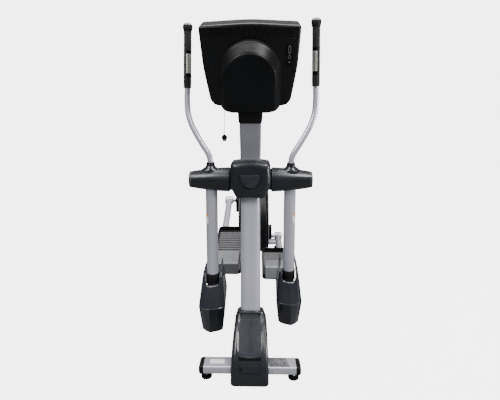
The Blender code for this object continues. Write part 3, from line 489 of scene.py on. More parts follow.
def finish(name, colour, second, roughness, metallic=0.0, grain=400.0, bump=0.10, wear=(0.3, None),
           dust=0.15, coat=0.0, coat_roughness=0.1, sheen=0.0, scuffs=0.15, specular=0.5):
    """One painted, moulded or machined finish, put together from the shared effects."""
    material = bpy.data.materials.new(name)
    material.use_nodes = True
    tree = material.node_tree
    g = Graph(tree)
    shader = tree.nodes["Principled BSDF"]
    for label, value in (("Metallic", metallic), ("Coat Weight", coat), ("Coat Roughness", coat_roughness),
                         ("Sheen Weight", sheen), ("Specular IOR Level", specular)):
        shader.inputs[label].default_value = value

    def effect(group, **inputs):
        return g.add("ShaderNodeGroup", {"node_tree": bpy.data.node_groups[group]}, **inputs)

    texture = effect("Surface Grain", i0=grain, i1=7.0)
    tone = g.mix(texture.outputs["Mottle"], (*colour, 1.0), (*second, 1.0))
    rubbed = effect("Edge Wear", Amount=wear[0]).outputs[0]
    bare = wear[1] or [min(1.0, c * 2.2 + 0.03) for c in colour]
    tone = g.mix(rubbed, tone, (*bare, 1.0))
    dusty = effect("Settled Dust", Amount=dust).outputs[0]
    tone = g.mix(dusty, tone, (0.42, 0.41, 0.39, 1.0))
    g.link(tone, shader.inputs["Base Color"])
    scuffed = effect("Drawn Scuffs").outputs[0]
    rough = g.ramp(texture.outputs["Mottle"], 0.0, 1.0, roughness - 0.04, roughness + 0.04)
    rough = g.math("ADD", rough, g.math("MULTIPLY", scuffed, scuffs))
    rough = g.math("ADD", rough, g.math("MULTIPLY", dusty, 0.3), clamp=True)
    g.link(rough, shader.inputs["Roughness"])
    relief = g.add("ShaderNodeBump", Strength=bump, Distance=0.0006, Height=texture.outputs["Height"])
    g.link(relief.outputs[0], shader.inputs["Normal"])
    return material


def foam_finish(colour):
    """Closed-cell foam: small cells, a dull skin and a little sheen."""
    material = finish("grip_foam", colour, [c * 1.6 for c in colour], 0.78, grain=260.0, bump=0.5, sheen=0.25,
                      dust=0.03, wear=(0.25, (0.03, 0.03, 0.03)), specular=0.22)
    g = Graph(material.node_tree)
    cells = g.add("ShaderNodeTexVoronoi", Vector=g.object_place(), Scale=620.0)
    relief = next(n for n in material.node_tree.nodes if n.type == "BUMP")
    g.link(cells.outputs["Distance"], relief.inputs["Height"])
    return material


def brushed_finish(name, colour, roughness, axis):
    """Turned or drawn bright metal with fine lines along one axis."""
    material = finish(name, colour, [c * 0.86 for c in colour], roughness, 1.0, 300.0, 0.05, (0.2, None), 0.08)
    g = Graph(material.node_tree)
    where = g.add("ShaderNodeSeparateXYZ", Vector=g.object_place())
    lines = g.add("ShaderNodeTexNoise", {"noise_dimensions": "1D"}, W=where.outputs["XYZ".index(axis)],
                  Scale=900.0, Detail=4.0)
    relief = next(n for n in material.node_tree.nodes if n.type == "BUMP")
    g.link(lines.outputs[0], relief.inputs["Height"])
    return material


def label_finish(name, low, high):
    """Blank two-tone label: pale film with a warm band along its top."""
    material = finish(name, (0.82, 0.82, 0.80), (0.76, 0.76, 0.75), 0.35, bump=0.02, wear=(0.0, None), dust=0.05)
    g = Graph(material.node_tree)
    height = g.add("ShaderNodeSeparateXYZ", Vector=g.object_place()).outputs[2]
    shader = material.node_tree.nodes["Principled BSDF"]
    below = shader.inputs["Base Color"].links[0].from_socket
    band = g.ramp(height, low + (high - low) * 0.70, low + (high - low) * 0.72)
    g.link(g.mix(band, below, (0.80, 0.27, 0.05, 1.0)), shader.inputs["Base Color"])
    return material


def glass_finish(colour):
    """Dark tinted display window under a smeared clear coat."""
    material = bpy.data.materials.new("display_glass")
    material.use_nodes = True
    g = Graph(material.node_tree)
    shader = material.node_tree.nodes["Principled BSDF"]
    shader.inputs["Coat Weight"].default_value = 1.0
    shader.inputs["Coat Roughness"].default_value = 0.03
    smear = g.noise(g.object_place(), 22.0, Detail=6.0, Roughness=0.7)
    g.link(g.ramp(smear, 0.3, 0.8, 0.05, 0.16), shader.inputs["Roughness"])
    tone = g.mix(smear, (*colour, 1.0), (*[c * 0.6 for c in colour], 1.0))
    g.link(tone, shader.inputs["Base Color"])
    return material


# ---------------------------------------------------------------- what a user would change
def size_property(label, description, size):
    """Length in metres."""
    return FloatProperty(name=label, description=description, default=size, subtype="DISTANCE", unit="LENGTH")


class TrainerSizes(bpy.types.PropertyGroup):
    """Sizes of the finished surface; places come from the frame."""
    crank_arm_radius: size_property("Crank arm radius", "Round end of a crank arm", 0.030)
    console_drop: size_property("Console drop", "Console's middle to its lower edge", 0.210)
    tube_radius: size_property("Handle tube", "Radius of the handle tube", 0.015)
    grip_radius: size_property("Grip radius", "Radius of the foam grip", 0.0205)
    arm_radius: size_property("Arm tube", "Radius of the lower arm's tube", 0.031)
    beam_radius: size_property("Beam tube", "Radius of the pedal beam's tube", 0.024)
    cord_length: size_property("Cord length", "Length of the dock cord", 0.147)
    cord_diameter: size_property("Cord diameter", "Thickness of the dock cord", 0.003)
    tread_ribs: IntProperty(name="Tread ribs", description="Ribs across a footplate", default=10, min=2, max=30)
    vent_slots: IntProperty(name="Vent slots", description="Slots in the console's back", default=72, min=4,
                            max=120)


def colour_property(label, description, colour):
    """Base colour in linear values."""
    return FloatVectorProperty(name=label, description=description, default=colour, subtype="COLOR", size=3,
                               min=0.0, max=1.0)


class TrainerColours(bpy.types.PropertyGroup):
    """Base colours of the finishes."""
    silver: colour_property("Silver paint", "Tubes, post and stabilisers", (0.50, 0.50, 0.565))
    grey: colour_property("Grey paint", "Upper post and drive bracket", (0.20, 0.20, 0.22))
    charcoal: colour_property("Charcoal", "Cross bar shells, boots and foot cover", (0.0075, 0.0085, 0.0115))
    black: colour_property("Black plastic", "Console, housing and footplates", (0.0022, 0.0024, 0.0028))
    rubber: colour_property("Rubber", "Grips, collars and feet", (0.0030, 0.0032, 0.0036))
    tread: colour_property("Tread", "Ribbed surface of the footplates", (0.060, 0.060, 0.064))
    pale: colour_property("Silver plastic", "Toe blocks and trim", (0.20, 0.203, 0.215))
    floor: colour_property("Floor", "Studio floor", (0.14, 0.14, 0.145))


def turn_property(label, description, angle):
    """Angle in radians."""
    return FloatProperty(name=label, description=description, default=angle, subtype="ANGLE", unit="ROTATION")


class TrainerView(bpy.types.PropertyGroup):
    """Where the picture is taken from."""
    position: FloatVectorProperty(name="Position", description="Place of the lens", subtype="TRANSLATION",
                                  unit="LENGTH", default=(0.0464, -2.6193, 1.2525), size=3)
    pitch: turn_property("Pitch", "Downward tilt", 0.0631)
    yaw: turn_property("Yaw", "Turn to the left", 0.0253)
    roll: turn_property("Roll", "Turn about the view", -0.0018)
    lens: FloatProperty(name="Lens", description="Focal length in millimetres", default=27.13, min=10.0, max=200.0)
    shift: FloatProperty(name="Shift", description="Vertical lens shift", default=-0.12, min=-0.5, max=0.5)


# ---------------------------------------------------------------- operators
class TrainerOperator(bpy.types.Operator):
    """Shared shape of the trainer's operators"""
    bl_idname = "trainer.step"
    bl_label = "Trainer step"
    bl_options = {"REGISTER", "UNDO"}

    def execute(self, context):
        if self.bl_idname not in ("TRAINER_OT_place_camera", "TRAINER_OT_mix_finishes") and not FINISHES:
            raise RuntimeError("mix the finishes first")
        self.build(context.scene.trainer_sizes)
        return {"FINISHED"}

    def build(self, sizes):
        raise NotImplementedError


class TRAINER_OT_camera(TrainerOperator):
    """Place the camera and make it the scene's camera"""
    bl_idname = "trainer.place_camera"
    bl_label = "Camera"

    def build(self, sizes):
        view = bpy.context.scene.trainer_view
        data = bpy.data.cameras.new("trainer_camera")
        data.lens = view.lens
        data.sensor_width = 36.0
        data.shift_y = view.shift
        data.clip_end = 60.0
        camera = bpy.data.objects.new("trainer_camera", data)
        turn = (Matrix.Rotation(view.yaw, 4, "Z") @ Matrix.Rotation(math.pi / 2 - view.pitch, 4, "X")
                @ Matrix.Rotation(view.roll, 4, "Z"))
        camera.matrix_world = Matrix.Translation(view.position) @ turn
        bpy.context.scene.collection.objects.link(camera)
        bpy.context.scene.camera = camera


def shade(colour, factor):
    """Colour made lighter or darker."""
    return tuple(min(1.0, c * factor) for c in colour)


class TRAINER_OT_finishes(TrainerOperator):
    """Make the shared shader effects and every finish"""
    bl_idname = "trainer.mix_finishes"
    bl_label = "Finishes"

    def build(self, sizes):
        for make in (grain_group, wear_group, dust_group, scuff_group):
            make()
        tint = bpy.context.scene.trainer_colours

        FINISHES.update({
            "silver_paint": finish("silver_paint", tint.silver, shade(tint.silver, 1.07), 0.28, 0.45, 900.0, 0.02,
                                   (0.0, shade(tint.silver, 1.2)), 0.03, 0.35, 0.12),
            "grey_paint": finish("grey_paint", tint.grey, shade(tint.grey, 1.10), 0.38, 0.35, 800.0, 0.06,
                                 (0.3, shade(tint.grey, 1.7)), 0.10, 0.2, 0.2),
            "charcoal": finish("charcoal", tint.charcoal, shade(tint.charcoal, 1.25), 0.30, 0.0, 320.0, 0.10,
                               (0.4, (0.05, 0.052, 0.06)), 0.04, 0.10, 0.2, specular=0.45),
            "gloss_charcoal": finish("gloss_charcoal", shade(tint.charcoal, 1.7), shade(tint.charcoal, 2.1), 0.24,
                                     0.0, 240.0, 0.05, (0.5, (0.09, 0.09, 0.10)), 0.04, 0.35, 0.12),
            "black_plastic": finish("black_plastic", tint.black, shade(tint.black, 1.5), 0.40, 0.0, 520.0, 0.22,
                                    (0.3, (0.022, 0.022, 0.025)), 0.03, specular=0.18),
            "black_trim": finish("black_trim", shade(tint.black, 0.8), shade(tint.black, 1.2), 0.32, 0.0, 300.0,
                                 0.05, (0.3, (0.02, 0.02, 0.022)), 0.02, specular=0.14),
            "hood": finish("hood", tint.black, shade(tint.black, 1.4), 0.30, 0.0, 420.0, 0.10,
                           (0.3, (0.03, 0.03, 0.034)), 0.04, 0.10, 0.25, specular=0.22),
            "contact": finish("contact", (0.60, 0.585, 0.53), (0.66, 0.645, 0.59), 0.34, 0.6, 500.0, 0.02,
                              (0.2, None), 0.05),
            "rubber": finish("rubber", tint.rubber, shade(tint.rubber, 1.6), 0.58, 0.0, 380.0, 0.25,
                             (0.2, (0.02, 0.02, 0.02)), 0.03, specular=0.25),
            "grip_foam": foam_finish(tint.rubber),
            "cord_sheath": finish("cord_sheath", shade(tint.rubber, 1.2), shade(tint.rubber, 1.9), 0.45, 0.0, 700.0,
                                  0.12, (0.1, None), 0.05),
            "tread": finish("tread", tint.tread, shade(tint.tread, 1.3), 0.55, 0.0, 450.0, 0.35,
                            (0.6, (0.20, 0.20, 0.20)), 0.03),
            "steel": brushed_finish("steel", (0.58, 0.58, 0.60), 0.26, "X"),
            "zinc": brushed_finish("zinc", (0.50, 0.51, 0.53), 0.34, "Z"),
            "cast_iron": finish("cast_iron", (0.13, 0.13, 0.14), (0.18, 0.18, 0.185), 0.50, 0.85, 160.0, 0.45,
                                (0.6, (0.4, 0.4, 0.41)), 0.10),
            "silver_plastic": finish("silver_plastic", tint.pale, shade(tint.pale, 1.10), 0.36, 0.25, 420.0, 0.10,
                                     (0.3, shade(tint.pale, 1.4)), 0.12, 0.15, 0.2),
            "crown": finish("crown", shade(tint.pale, 0.7), shade(tint.pale, 0.85), 0.40, 0.0, 500.0, 0.10,
                            (0.3, None), 0.15),
            "label": finish("label", (0.80, 0.80, 0.79), (0.74, 0.74, 0.74), 0.36, bump=0.02, wear=(0.0, None),
                            dust=0.1),
            "display_glass": glass_finish((0.016, 0.022, 0.026)),
            "key_plastic": finish("key_plastic", (0.50, 0.51, 0.53), (0.56, 0.57, 0.58), 0.42, 0.0, 600.0, 0.08,
                                  (0.2, None), 0.05),
            "keypad_film": finish("keypad_film", (0.030, 0.034, 0.040), (0.042, 0.046, 0.052), 0.34, 0.0, 700.0,
                                  0.12, (0.1, None), 0.05),
        })


class TRAINER_OT_dock_cord(TrainerOperator):
    """Hang the short dock cord with its gland and plug"""
    bl_idname = "trainer.hang_dock_cord"
    bl_label = "Dock cord"

    def build(self, sizes):
        cord_low, cord_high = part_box("dock_cord")
        across = (cord_low.x + cord_high.x) / 2
        place = console_place()
        gap = 0.0003
        mouth = place @ Vector((across, 0.030, -0.2220 - gap))
        drops = ((0.0, 0.0), (0.0036, -0.009), (0.0062, -0.022), (0.0070, -0.045), (0.0066, -0.080),
                 (0.0062, -0.115), (0.0062, -0.1450))
        route = catmull([tuple(mouth + Vector((0.0, y, z))) for y, z in drops], 4)
        curve = bpy.data.curves.new("dock_cord_sheath", "CURVE")
        curve.dimensions = "3D"
        curve.bevel_depth = sizes.cord_diameter / 2
        curve.bevel_resolution = 4
        curve.use_fill_caps = True
        line = curve.splines.new("POLY")
        line.points.add(len(route) - 1)
        for point, at in zip(line.points, route):
            point.co = (*at, 1.0)
        line.use_smooth = True
        curve.materials.append(FINISHES["cord_sheath"])
        cord = bpy.data.objects.new("dock_cord_sheath", curve)
        bpy.context.scene.collection.objects.link(cord)
        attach(cord, "frame")
        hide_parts("dock_cord")

        profile = [(-0.2104, 0.0), (-0.2104, 0.0078), (-0.2120, 0.0078)]
        for rib in range(4):
            z = -0.2132 - 0.0022 * rib
            radius = 0.0066 - 0.0008 * rib
            neck = radius - 0.0009
            profile += [(z, radius), (z - 0.0012, radius), (z - 0.0014, neck), (z - 0.0020, neck)]
        profile += [(-0.2220, 0.0030), (-0.2220, 0.0)]
        gland = piece("cord_strain_relief", turned(profile, "Z", 32, (across, 0.030, 0.0)), "rubber", "frame",
                      ("cord_gland",), place)

        end = Vector(route[-1])
        top = end.z - gap
        stations = ((0.0, 0.0100, 0.0060), (0.003, 0.0140, 0.0072), (0.006, 0.0220, 0.0080),
                    (0.010, 0.0300, 0.0085), (0.013, 0.0300, 0.0085), (0.0135, 0.0286, 0.0074),
                    (0.0150, 0.0286, 0.0074), (0.0155, 0.0300, 0.0085), (0.022, 0.0290, 0.0085),
                    (0.025, 0.0275, 0.0080), (0.026, 0.0255, 0.0066))
        body = loft([[(end.x + a, end.y + b, top - drop) for a, b in rounded_rect(width, depth, 0.0028, 5)]
                     for drop, width, depth in stations])
        plug = piece("dock_plug_body", body, "black_plastic", "frame", ("dock_plug",))
        tongue = brick((end.x - 0.0105, end.x + 0.0105), (end.y - 0.0018, end.y + 0.0018),
                       (top - 0.037, top - 0.0255))
        for lane in range(-2, 3):
            x = end.x + 0.0038 * lane
            brick((x - 0.0011, x + 0.0011), (end.y - 0.0021, end.y + 0.0021), (top - 0.0355, top - 0.0262),
                  tongue)
        metal = piece("dock_plug_tongue", tongue, "zinc", "frame", bevel=0.0003)


class TRAINER_OT_base(TrainerOperator):
    """Build the stabilisers, levelling feet and base beam"""
    bl_idname = "trainer.build_base"
    bl_label = "Base"

    def build(self, sizes):
        for end in ("front", "rear"):
            self.stabiliser(end)
            for prefix, _ in SIDES:
                self.foot(f"{end}_{prefix}_foot")
        self.beam()

    def stabiliser(self, end):
        low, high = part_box(end + "_stabiliser")
        cap = 0.024
        half = high.x - cap
        depth = high.y - low.y
        height = high.z - low.z
        _, y, z = centre_of(low, high)
        outline = shifted(rounded_rect(depth, height, 0.0065), y, z)
        piece(end + "_stabiliser_tube", prism(outline, "X", -half, half), "silver_paint", "frame",
              (end + "_stabiliser",))
        for prefix, side in SIDES:
            stations = [(0.0002, 0.0018), (0.0006, 0.0002), (0.0050, 0.0000), (0.0095, 0.0002)]
            stations += round_over(0.0095, cap - 0.0004, 0.0115, 8)[1:]
            rings = []
            for reach, inset in stations:
                lip = rounded_rect(depth - 2 * inset, height + 0.0060 - 2 * inset, max(0.003, 0.0085 - inset / 3))
                rings.append([(side * (half + reach), y + a, z - 0.0022 + b) for a, b in lip])
            piece(f"{end}_{prefix}_end_cap", loft(rings), "black_plastic", "frame")
        if end == "front":
            self.labels(half, low, high)

    def labels(self, half, low, high):
        """Blank film labels on the top face of the front stabiliser."""
        lift = high.z + 0.0003
        plain = shifted(rounded_rect(0.070, 0.030, 0.003), 0.062 - half, centre_of(low, high).y)
        piece("stabiliser_blank_label", prism(plain, "Z", high.z - 0.0005, lift), "label", "frame")
        near = low.y + 0.007
        far = high.y - 0.007
        skewed = fillet_outline(((0.098, near, 0.002), (0.190, near, 0.002), (0.172, far, 0.002),
                                 (0.080, far, 0.002)), 3)
        piece("stabiliser_grip_film", prism(skewed, "Z", high.z - 0.0005, lift + 0.0002), "tread", "frame")

    def foot(self, node):
        low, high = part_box(node)
        profile = [(0.0, 0.0), (0.0, 0.0225), (0.0015, 0.0240)]
        for rib in range(3):
            z = 0.0025 + 0.0030 * rib
            profile += [(z, 0.0258), (z + 0.0012, 0.0258), (z + 0.0018, 0.0242), (z + 0.0026, 0.0242)]
        profile += [(0.0118, 0.0225), (0.0138, 0.0170), (0.0142, 0.0)]
        centre = (centre_of(low, high).x, centre_of(low, high).y, 0.0)
        piece(node + "_pad", turned(profile, "Z", 48, centre), "rubber", "frame", (node,))
        thread = [(0.0135, 0.0), (0.0135, 0.0072)]
        turns = 9
        for i in range(turns):
            z = 0.0140 + (high.z - 0.0150) * i / turns
            thread += [(z, 0.0080), (z + 0.0014, 0.0070)]
        thread += [(high.z, 0.0078), (high.z, 0.0)]
        stem = turned(thread, "Z", 32, centre)
        nut = shifted(circle(0.013, 6), *centre[:2])
        prism(nut, "Z", high.z - 0.0105, high.z - 0.0020, stem)
        piece(node + "_stem", stem, "zinc", "frame", sharp=25.0)

    def beam(self):
        low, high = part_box("base_beam")
        middle = (low.z + high.z) / 2
        outline = [(a, middle + b) for a, b in rounded_rect(high.x - low.x, high.z - low.z, 0.008)]
        piece("base_beam_tube", prism(outline, "Y", low.y, high.y - 0.003), "silver_paint", "frame", ("base_beam",))
        rings = []
        for reach, inset in ((0.0, 0.0015), (0.0006, 0.0002), (0.0030, 0.0030)):
            plug = rounded_rect(high.x - low.x - 2 * inset, high.z - low.z - 2 * inset, 0.0075)
            rings.append([(a, high.y - 0.003 + reach, middle + b) for a, b in plug])
        piece("base_beam_end_plug", loft(rings), "black_plastic", "frame")
        rear_low, rear_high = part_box("rear_stabiliser")
        bolts = bmesh.new()
        for _, side in SIDES:
            for y in (rear_low.y + 0.020, rear_high.y - 0.022):
                washer = high.z + 0.0018
                turned(((high.z, 0.0), (high.z, 0.0125), (washer, 0.0125), (washer, 0.0)), "Z", 32,
                       (side * 0.030, y, 0.0), bolts)
                prism(shifted(circle(0.0085, 6), side * 0.030, y), "Z", washer, high.z + 0.0075, bolts)
        piece("rear_beam_bolts", bolts, "zinc", "frame", bevel=0.0006)


class TRAINER_OT_post(TrainerOperator):
    """Build the mast, the upper post and the moulded foot cover"""
    bl_idname = "trainer.build_post"
    bl_label = "Post and foot cover"

    def build(self, sizes):
        self.mast()
        self.neck()
        self.cover()

    def mast(self):
        low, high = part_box("mast")
        depth = 0.072
        rings = []
        for i in range(13):
            share = i / 12
            y = low.y + depth / 2 + (high.y - low.y - depth) * share
            rings.append([(a, y + b, low.z + (high.z - low.z) * share)
                          for a, b in rounded_rect(high.x - low.x, depth, 0.030, 12)])
        piece("mast_tube", loft(rings), "silver_paint", "frame", ("mast",))

    def neck(self):
        """Upper post: back from the cross bar, then forward into the dome."""
        bar = anchor("right_arm_swing")
        stations = ((0.0253, 0.000, 0.0), (0.060, 0.005, 0.0), (0.110, 0.008, 0.0), (0.150, 0.004, 3.0),
                    (0.200, -0.006, 7.0), (0.260, -0.016, 11.0), (0.330, -0.032, 16.0), (0.400, -0.056, 21.0),
                    (0.450, -0.078, 22.5))
        rings = []
        for rise, shift, lean in catmull(stations, 4):
            turn = math.radians(lean)
            width = 0.102 + 0.014 * rise / stations[-1][0]
            rings.append([(a, bar.y + shift + b * math.cos(turn), bar.z + rise + b * math.sin(turn))
                          for a, b in rounded_rect(width, 0.058, 0.012)])
        piece("upper_post", loft(rings), "grey_paint", "frame", ("neck",))
        skirt = []
        for rise, shift, lean, grow in catmull(((0.300, -0.0245, 14.0, 0.0022), (0.318, -0.029, 15.0, 0.0050),
                                                (0.345, -0.036, 17.0, 0.0062), (0.380, -0.048, 20.0, 0.0068)), 3):
            turn = math.radians(lean)
            skirt.append([(a, bar.y + shift + b * math.cos(turn), bar.z + rise + b * math.sin(turn))
                         for a, b in rounded_rect(0.112 + 2 * grow, 0.058 + 2 * grow, 0.014)])
        piece("post_skirt", loft(skirt), "black_plastic", "frame")

    def cover(self):
        front_bar = centre_of(*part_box("front_stabiliser")).y
        shape = ((0.008, 0.0895, -0.076, 0.200), (0.070, 0.0890, -0.066, 0.210), (0.130, 0.0865, -0.036, 0.212),
                 (0.205, 0.0800, 0.030, 0.210), (0.262, 0.0690, 0.076, 0.195), (0.275, 0.0640, 0.083, 0.188))
        rows = catmull(shape, 6)
        radius = 0.022

        def front_at(x, z):
            """Outer front surface of the shell at a place across and up."""
            one, two = next(((a, b) for a, b in zip(rows, rows[1:]) if a[0] <= z <= b[0]), rows[-2:])
            share = (z - one[0]) / (two[0] - one[0])
            half = one[1] + (two[1] - one[1]) * share
            front = one[2] + (two[2] - one[2]) * share
            over = max(0.0, abs(x) - (half - radius))
            return front_bar + front + radius - math.sqrt(max(0.0, radius ** 2 - over ** 2))

        rings = []

        def ring(z, half, front, rear, slope, inset=0.0):
            """One level of the shell, which falls away to the rear by the slope."""
            centre = front_bar + (front + rear) / 2
            shape = rounded_rect(2 * (half - inset), rear - front - 2 * inset, radius - inset / 2, 10)
            return [(a, centre + b, z - slope * max(0.0, b + (rear - front) / 2 - radius)) for a, b in shape]

        for z, half, front, rear in rows:
            rings.append(ring(z, half, front, rear, 0.30 * max(0.0, (z - 0.205) / 0.070)))
        z, half, front, rear = shape[-1]
        for lift, inset in round_over(0.001, 0.004, 0.010)[1:]:
            rings.append(ring(z + lift - 0.001, half, front, rear, 0.3, inset))
        piece("foot_cover_shell", loft(rings), "charcoal", "frame", ("foot_cover",))

        def strip(z_low, z_high, levels, x_low, x_high, columns, depth):
            """Grid of points on the shell's front, sunk or raised by a depth."""
            levels_at = [z_low + (z_high - z_low) * i / levels for i in range(levels + 1)]
            columns_at = [x_low + (x_high - x_low) * k / columns for k in range(columns + 1)]
            return [[(x, front_at(x, z) - depth, z) for x in columns_at] for z in levels_at]

        panel = []
        top, bottom, wide = 0.252, 0.127, 0.0590
        for i in range(25):
            z = bottom + (top - bottom) * i / 24
            narrow = 0.012 * max(0.0, 1.0 - (z - bottom) / 0.020) ** 2
            reach = wide - narrow + 0.004 * (z - bottom) / (top - bottom)
            row = []
            for k in range(25):
                share = k / 12 - 1
                lift = 0.0034 + 0.0056 * (1 - abs(share)) + (0.0 if abs(share) < 0.99 else -0.002)
                x = share * reach
                row.append((x, front_at(x, z) - lift, z - 0.3 * lift))
            panel.append(row)
        piece("foot_cover_panel", slab(panel, (0.0, 0.012, 0.0)), "gloss_charcoal", "frame", sharp=14.0)
        # Thin black strip just proud of the shell under the raised panel's lower edge: a painted shadow of the
        # panel's overhang, not a recess.
        overlay = strip(0.112, 0.128, 4, -0.054, 0.054, 16, 0.0004)
        piece("foot_cover_painted_shadow", slab(overlay, (0.0, 0.006, 0.0)), "black_trim", "frame")
        hatch = strip(0.066, 0.096, 8, -0.045, 0.045, 16, 0.0016)
        piece("foot_cover_hatch", slab(hatch, (0.0, 0.006, 0.0)), "charcoal", "frame", bevel=0.0010)
        joined = bmesh.new()
        for z_low, z_high, x_low, x_high in ((0.0965, 0.0985, -0.047, 0.047), (0.0637, 0.0655, -0.047, 0.047),
                                             (0.0637, 0.0985, -0.047, -0.0455), (0.0637, 0.0985, 0.0455, 0.047),
                                             (0.074, 0.088, -0.042, -0.036)):
            depth = 0.0020 if z_low == 0.074 else 0.0006
            merge(joined, slab(strip(z_low, z_high, 6, x_low, x_high, 8, depth), (0.0, 0.004, 0.0)))
        piece("foot_cover_hatch_seam", joined, "black_trim", "frame")
        screws = bmesh.new()
        for x, z in ((-0.046, 0.266), (0.046, 0.266)):
            spot = (x, front_at(x, z) - 0.0004, z)
            merge(screws, moved(screw_head(0.0045, 0.0025), facing(spot, (0.0, -0.9, 0.45))))
        piece("foot_cover_screws", screws, "black_trim", "frame")


class TRAINER_OT_cross_bar(TrainerOperator):
    """Build the centre block's shells and its blank badge"""
    bl_idname = "trainer.build_cross_bar"
    bl_label = "Cross bar"

    def outline(self, half, inset):
        """Front view: arched top, upright sides and a tapered chin."""
        half -= inset
        top = 0.101 - inset
        low = -0.090 + inset
        corners = [(0.055 * s, top + 0.005 * (1 - s * s), 0.0004) for s in (1.0, 0.5, 0.0, -0.5, -1.0)]
        corners += [(-half + 0.005, top - 0.006, 0.019), (-half, -0.024, 0.060), (-half + 0.036, low, 0.020),
                    (0.0, low + 0.004, 0.30), (half - 0.036, low, 0.020), (half, -0.024, 0.060),
                    (half - 0.005, top - 0.006, 0.019)]
        return fillet_outline(corners, 6)

    def build(self, sizes):
        bar = anchor("right_arm_swing")
        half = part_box("cross_bar_front_cover")[1].x
        seam = 0.0004
        front = [(-y, inset) for y, inset in round_over(0.050, 0.084, 0.032, 10)]
        rear = round_over(0.054, 0.080, 0.024, 8)
        for name, start, stations in (("front", -seam, front), ("rear", seam, rear)):
            rings = [[(x, bar.y + start * 2, bar.z + z) for x, z in self.outline(half, 0.0012)],
                     [(x, bar.y + start * 4, bar.z + z) for x, z in self.outline(half, 0.0)]]
            rings += [[(x, bar.y + y, bar.z + z) for x, z in self.outline(half, inset)] for y, inset in stations]
            piece(f"cross_bar_{name}_shell", loft(rings), "charcoal", "frame", (f"cross_bar_{name}_cover",),
                  sharp=25.0)
        seams = bmesh.new()
        for _, side in SIDES:
            ring = ((0.098, 0.030), (0.098, 0.0560), (0.1082, 0.0560), (0.1082, 0.030))
            turned(sided(ring, side), "X", 64, (0.0, bar.y, bar.z), seams)
        piece("cross_bar_seam_rings", seams, "black_trim", "frame")
        face = bar.y - 0.084
        top = bar.z + 0.034
        turns = [math.pi * i / 32 for i in range(33)]
        badge = [(0.050 * math.cos(turn), top - 0.065 * math.sin(turn)) for turn in turns]
        piece("cross_bar_badge", prism(badge, "Y", face - 0.0014, face + 0.002), "gloss_charcoal", "frame",
              ("blank_badge",), bevel=0.0010)
        turns = [math.pi * i / 40 for i in range(41)]
        route = [Vector((0.0545 * math.cos(turn), face + 0.0006, top - 0.0695 * math.sin(turn))) for turn in turns]
        rings = []
        for i, point in enumerate(route):
            tangent = (route[min(i + 1, 40)] - route[max(i - 1, 0)]).normalized()
            out = Vector((0.0, 1.0, 0.0)).cross(tangent).normalized()
            rings.append([point + out * 0.0022 * math.cos(a) + Vector((0.0, 0.0016, 0.0)) * math.sin(a)
                          for a in (math.tau * k / 10 for k in range(10))])
        piece("cross_bar_badge_groove", loft(rings), "black_trim", "frame")


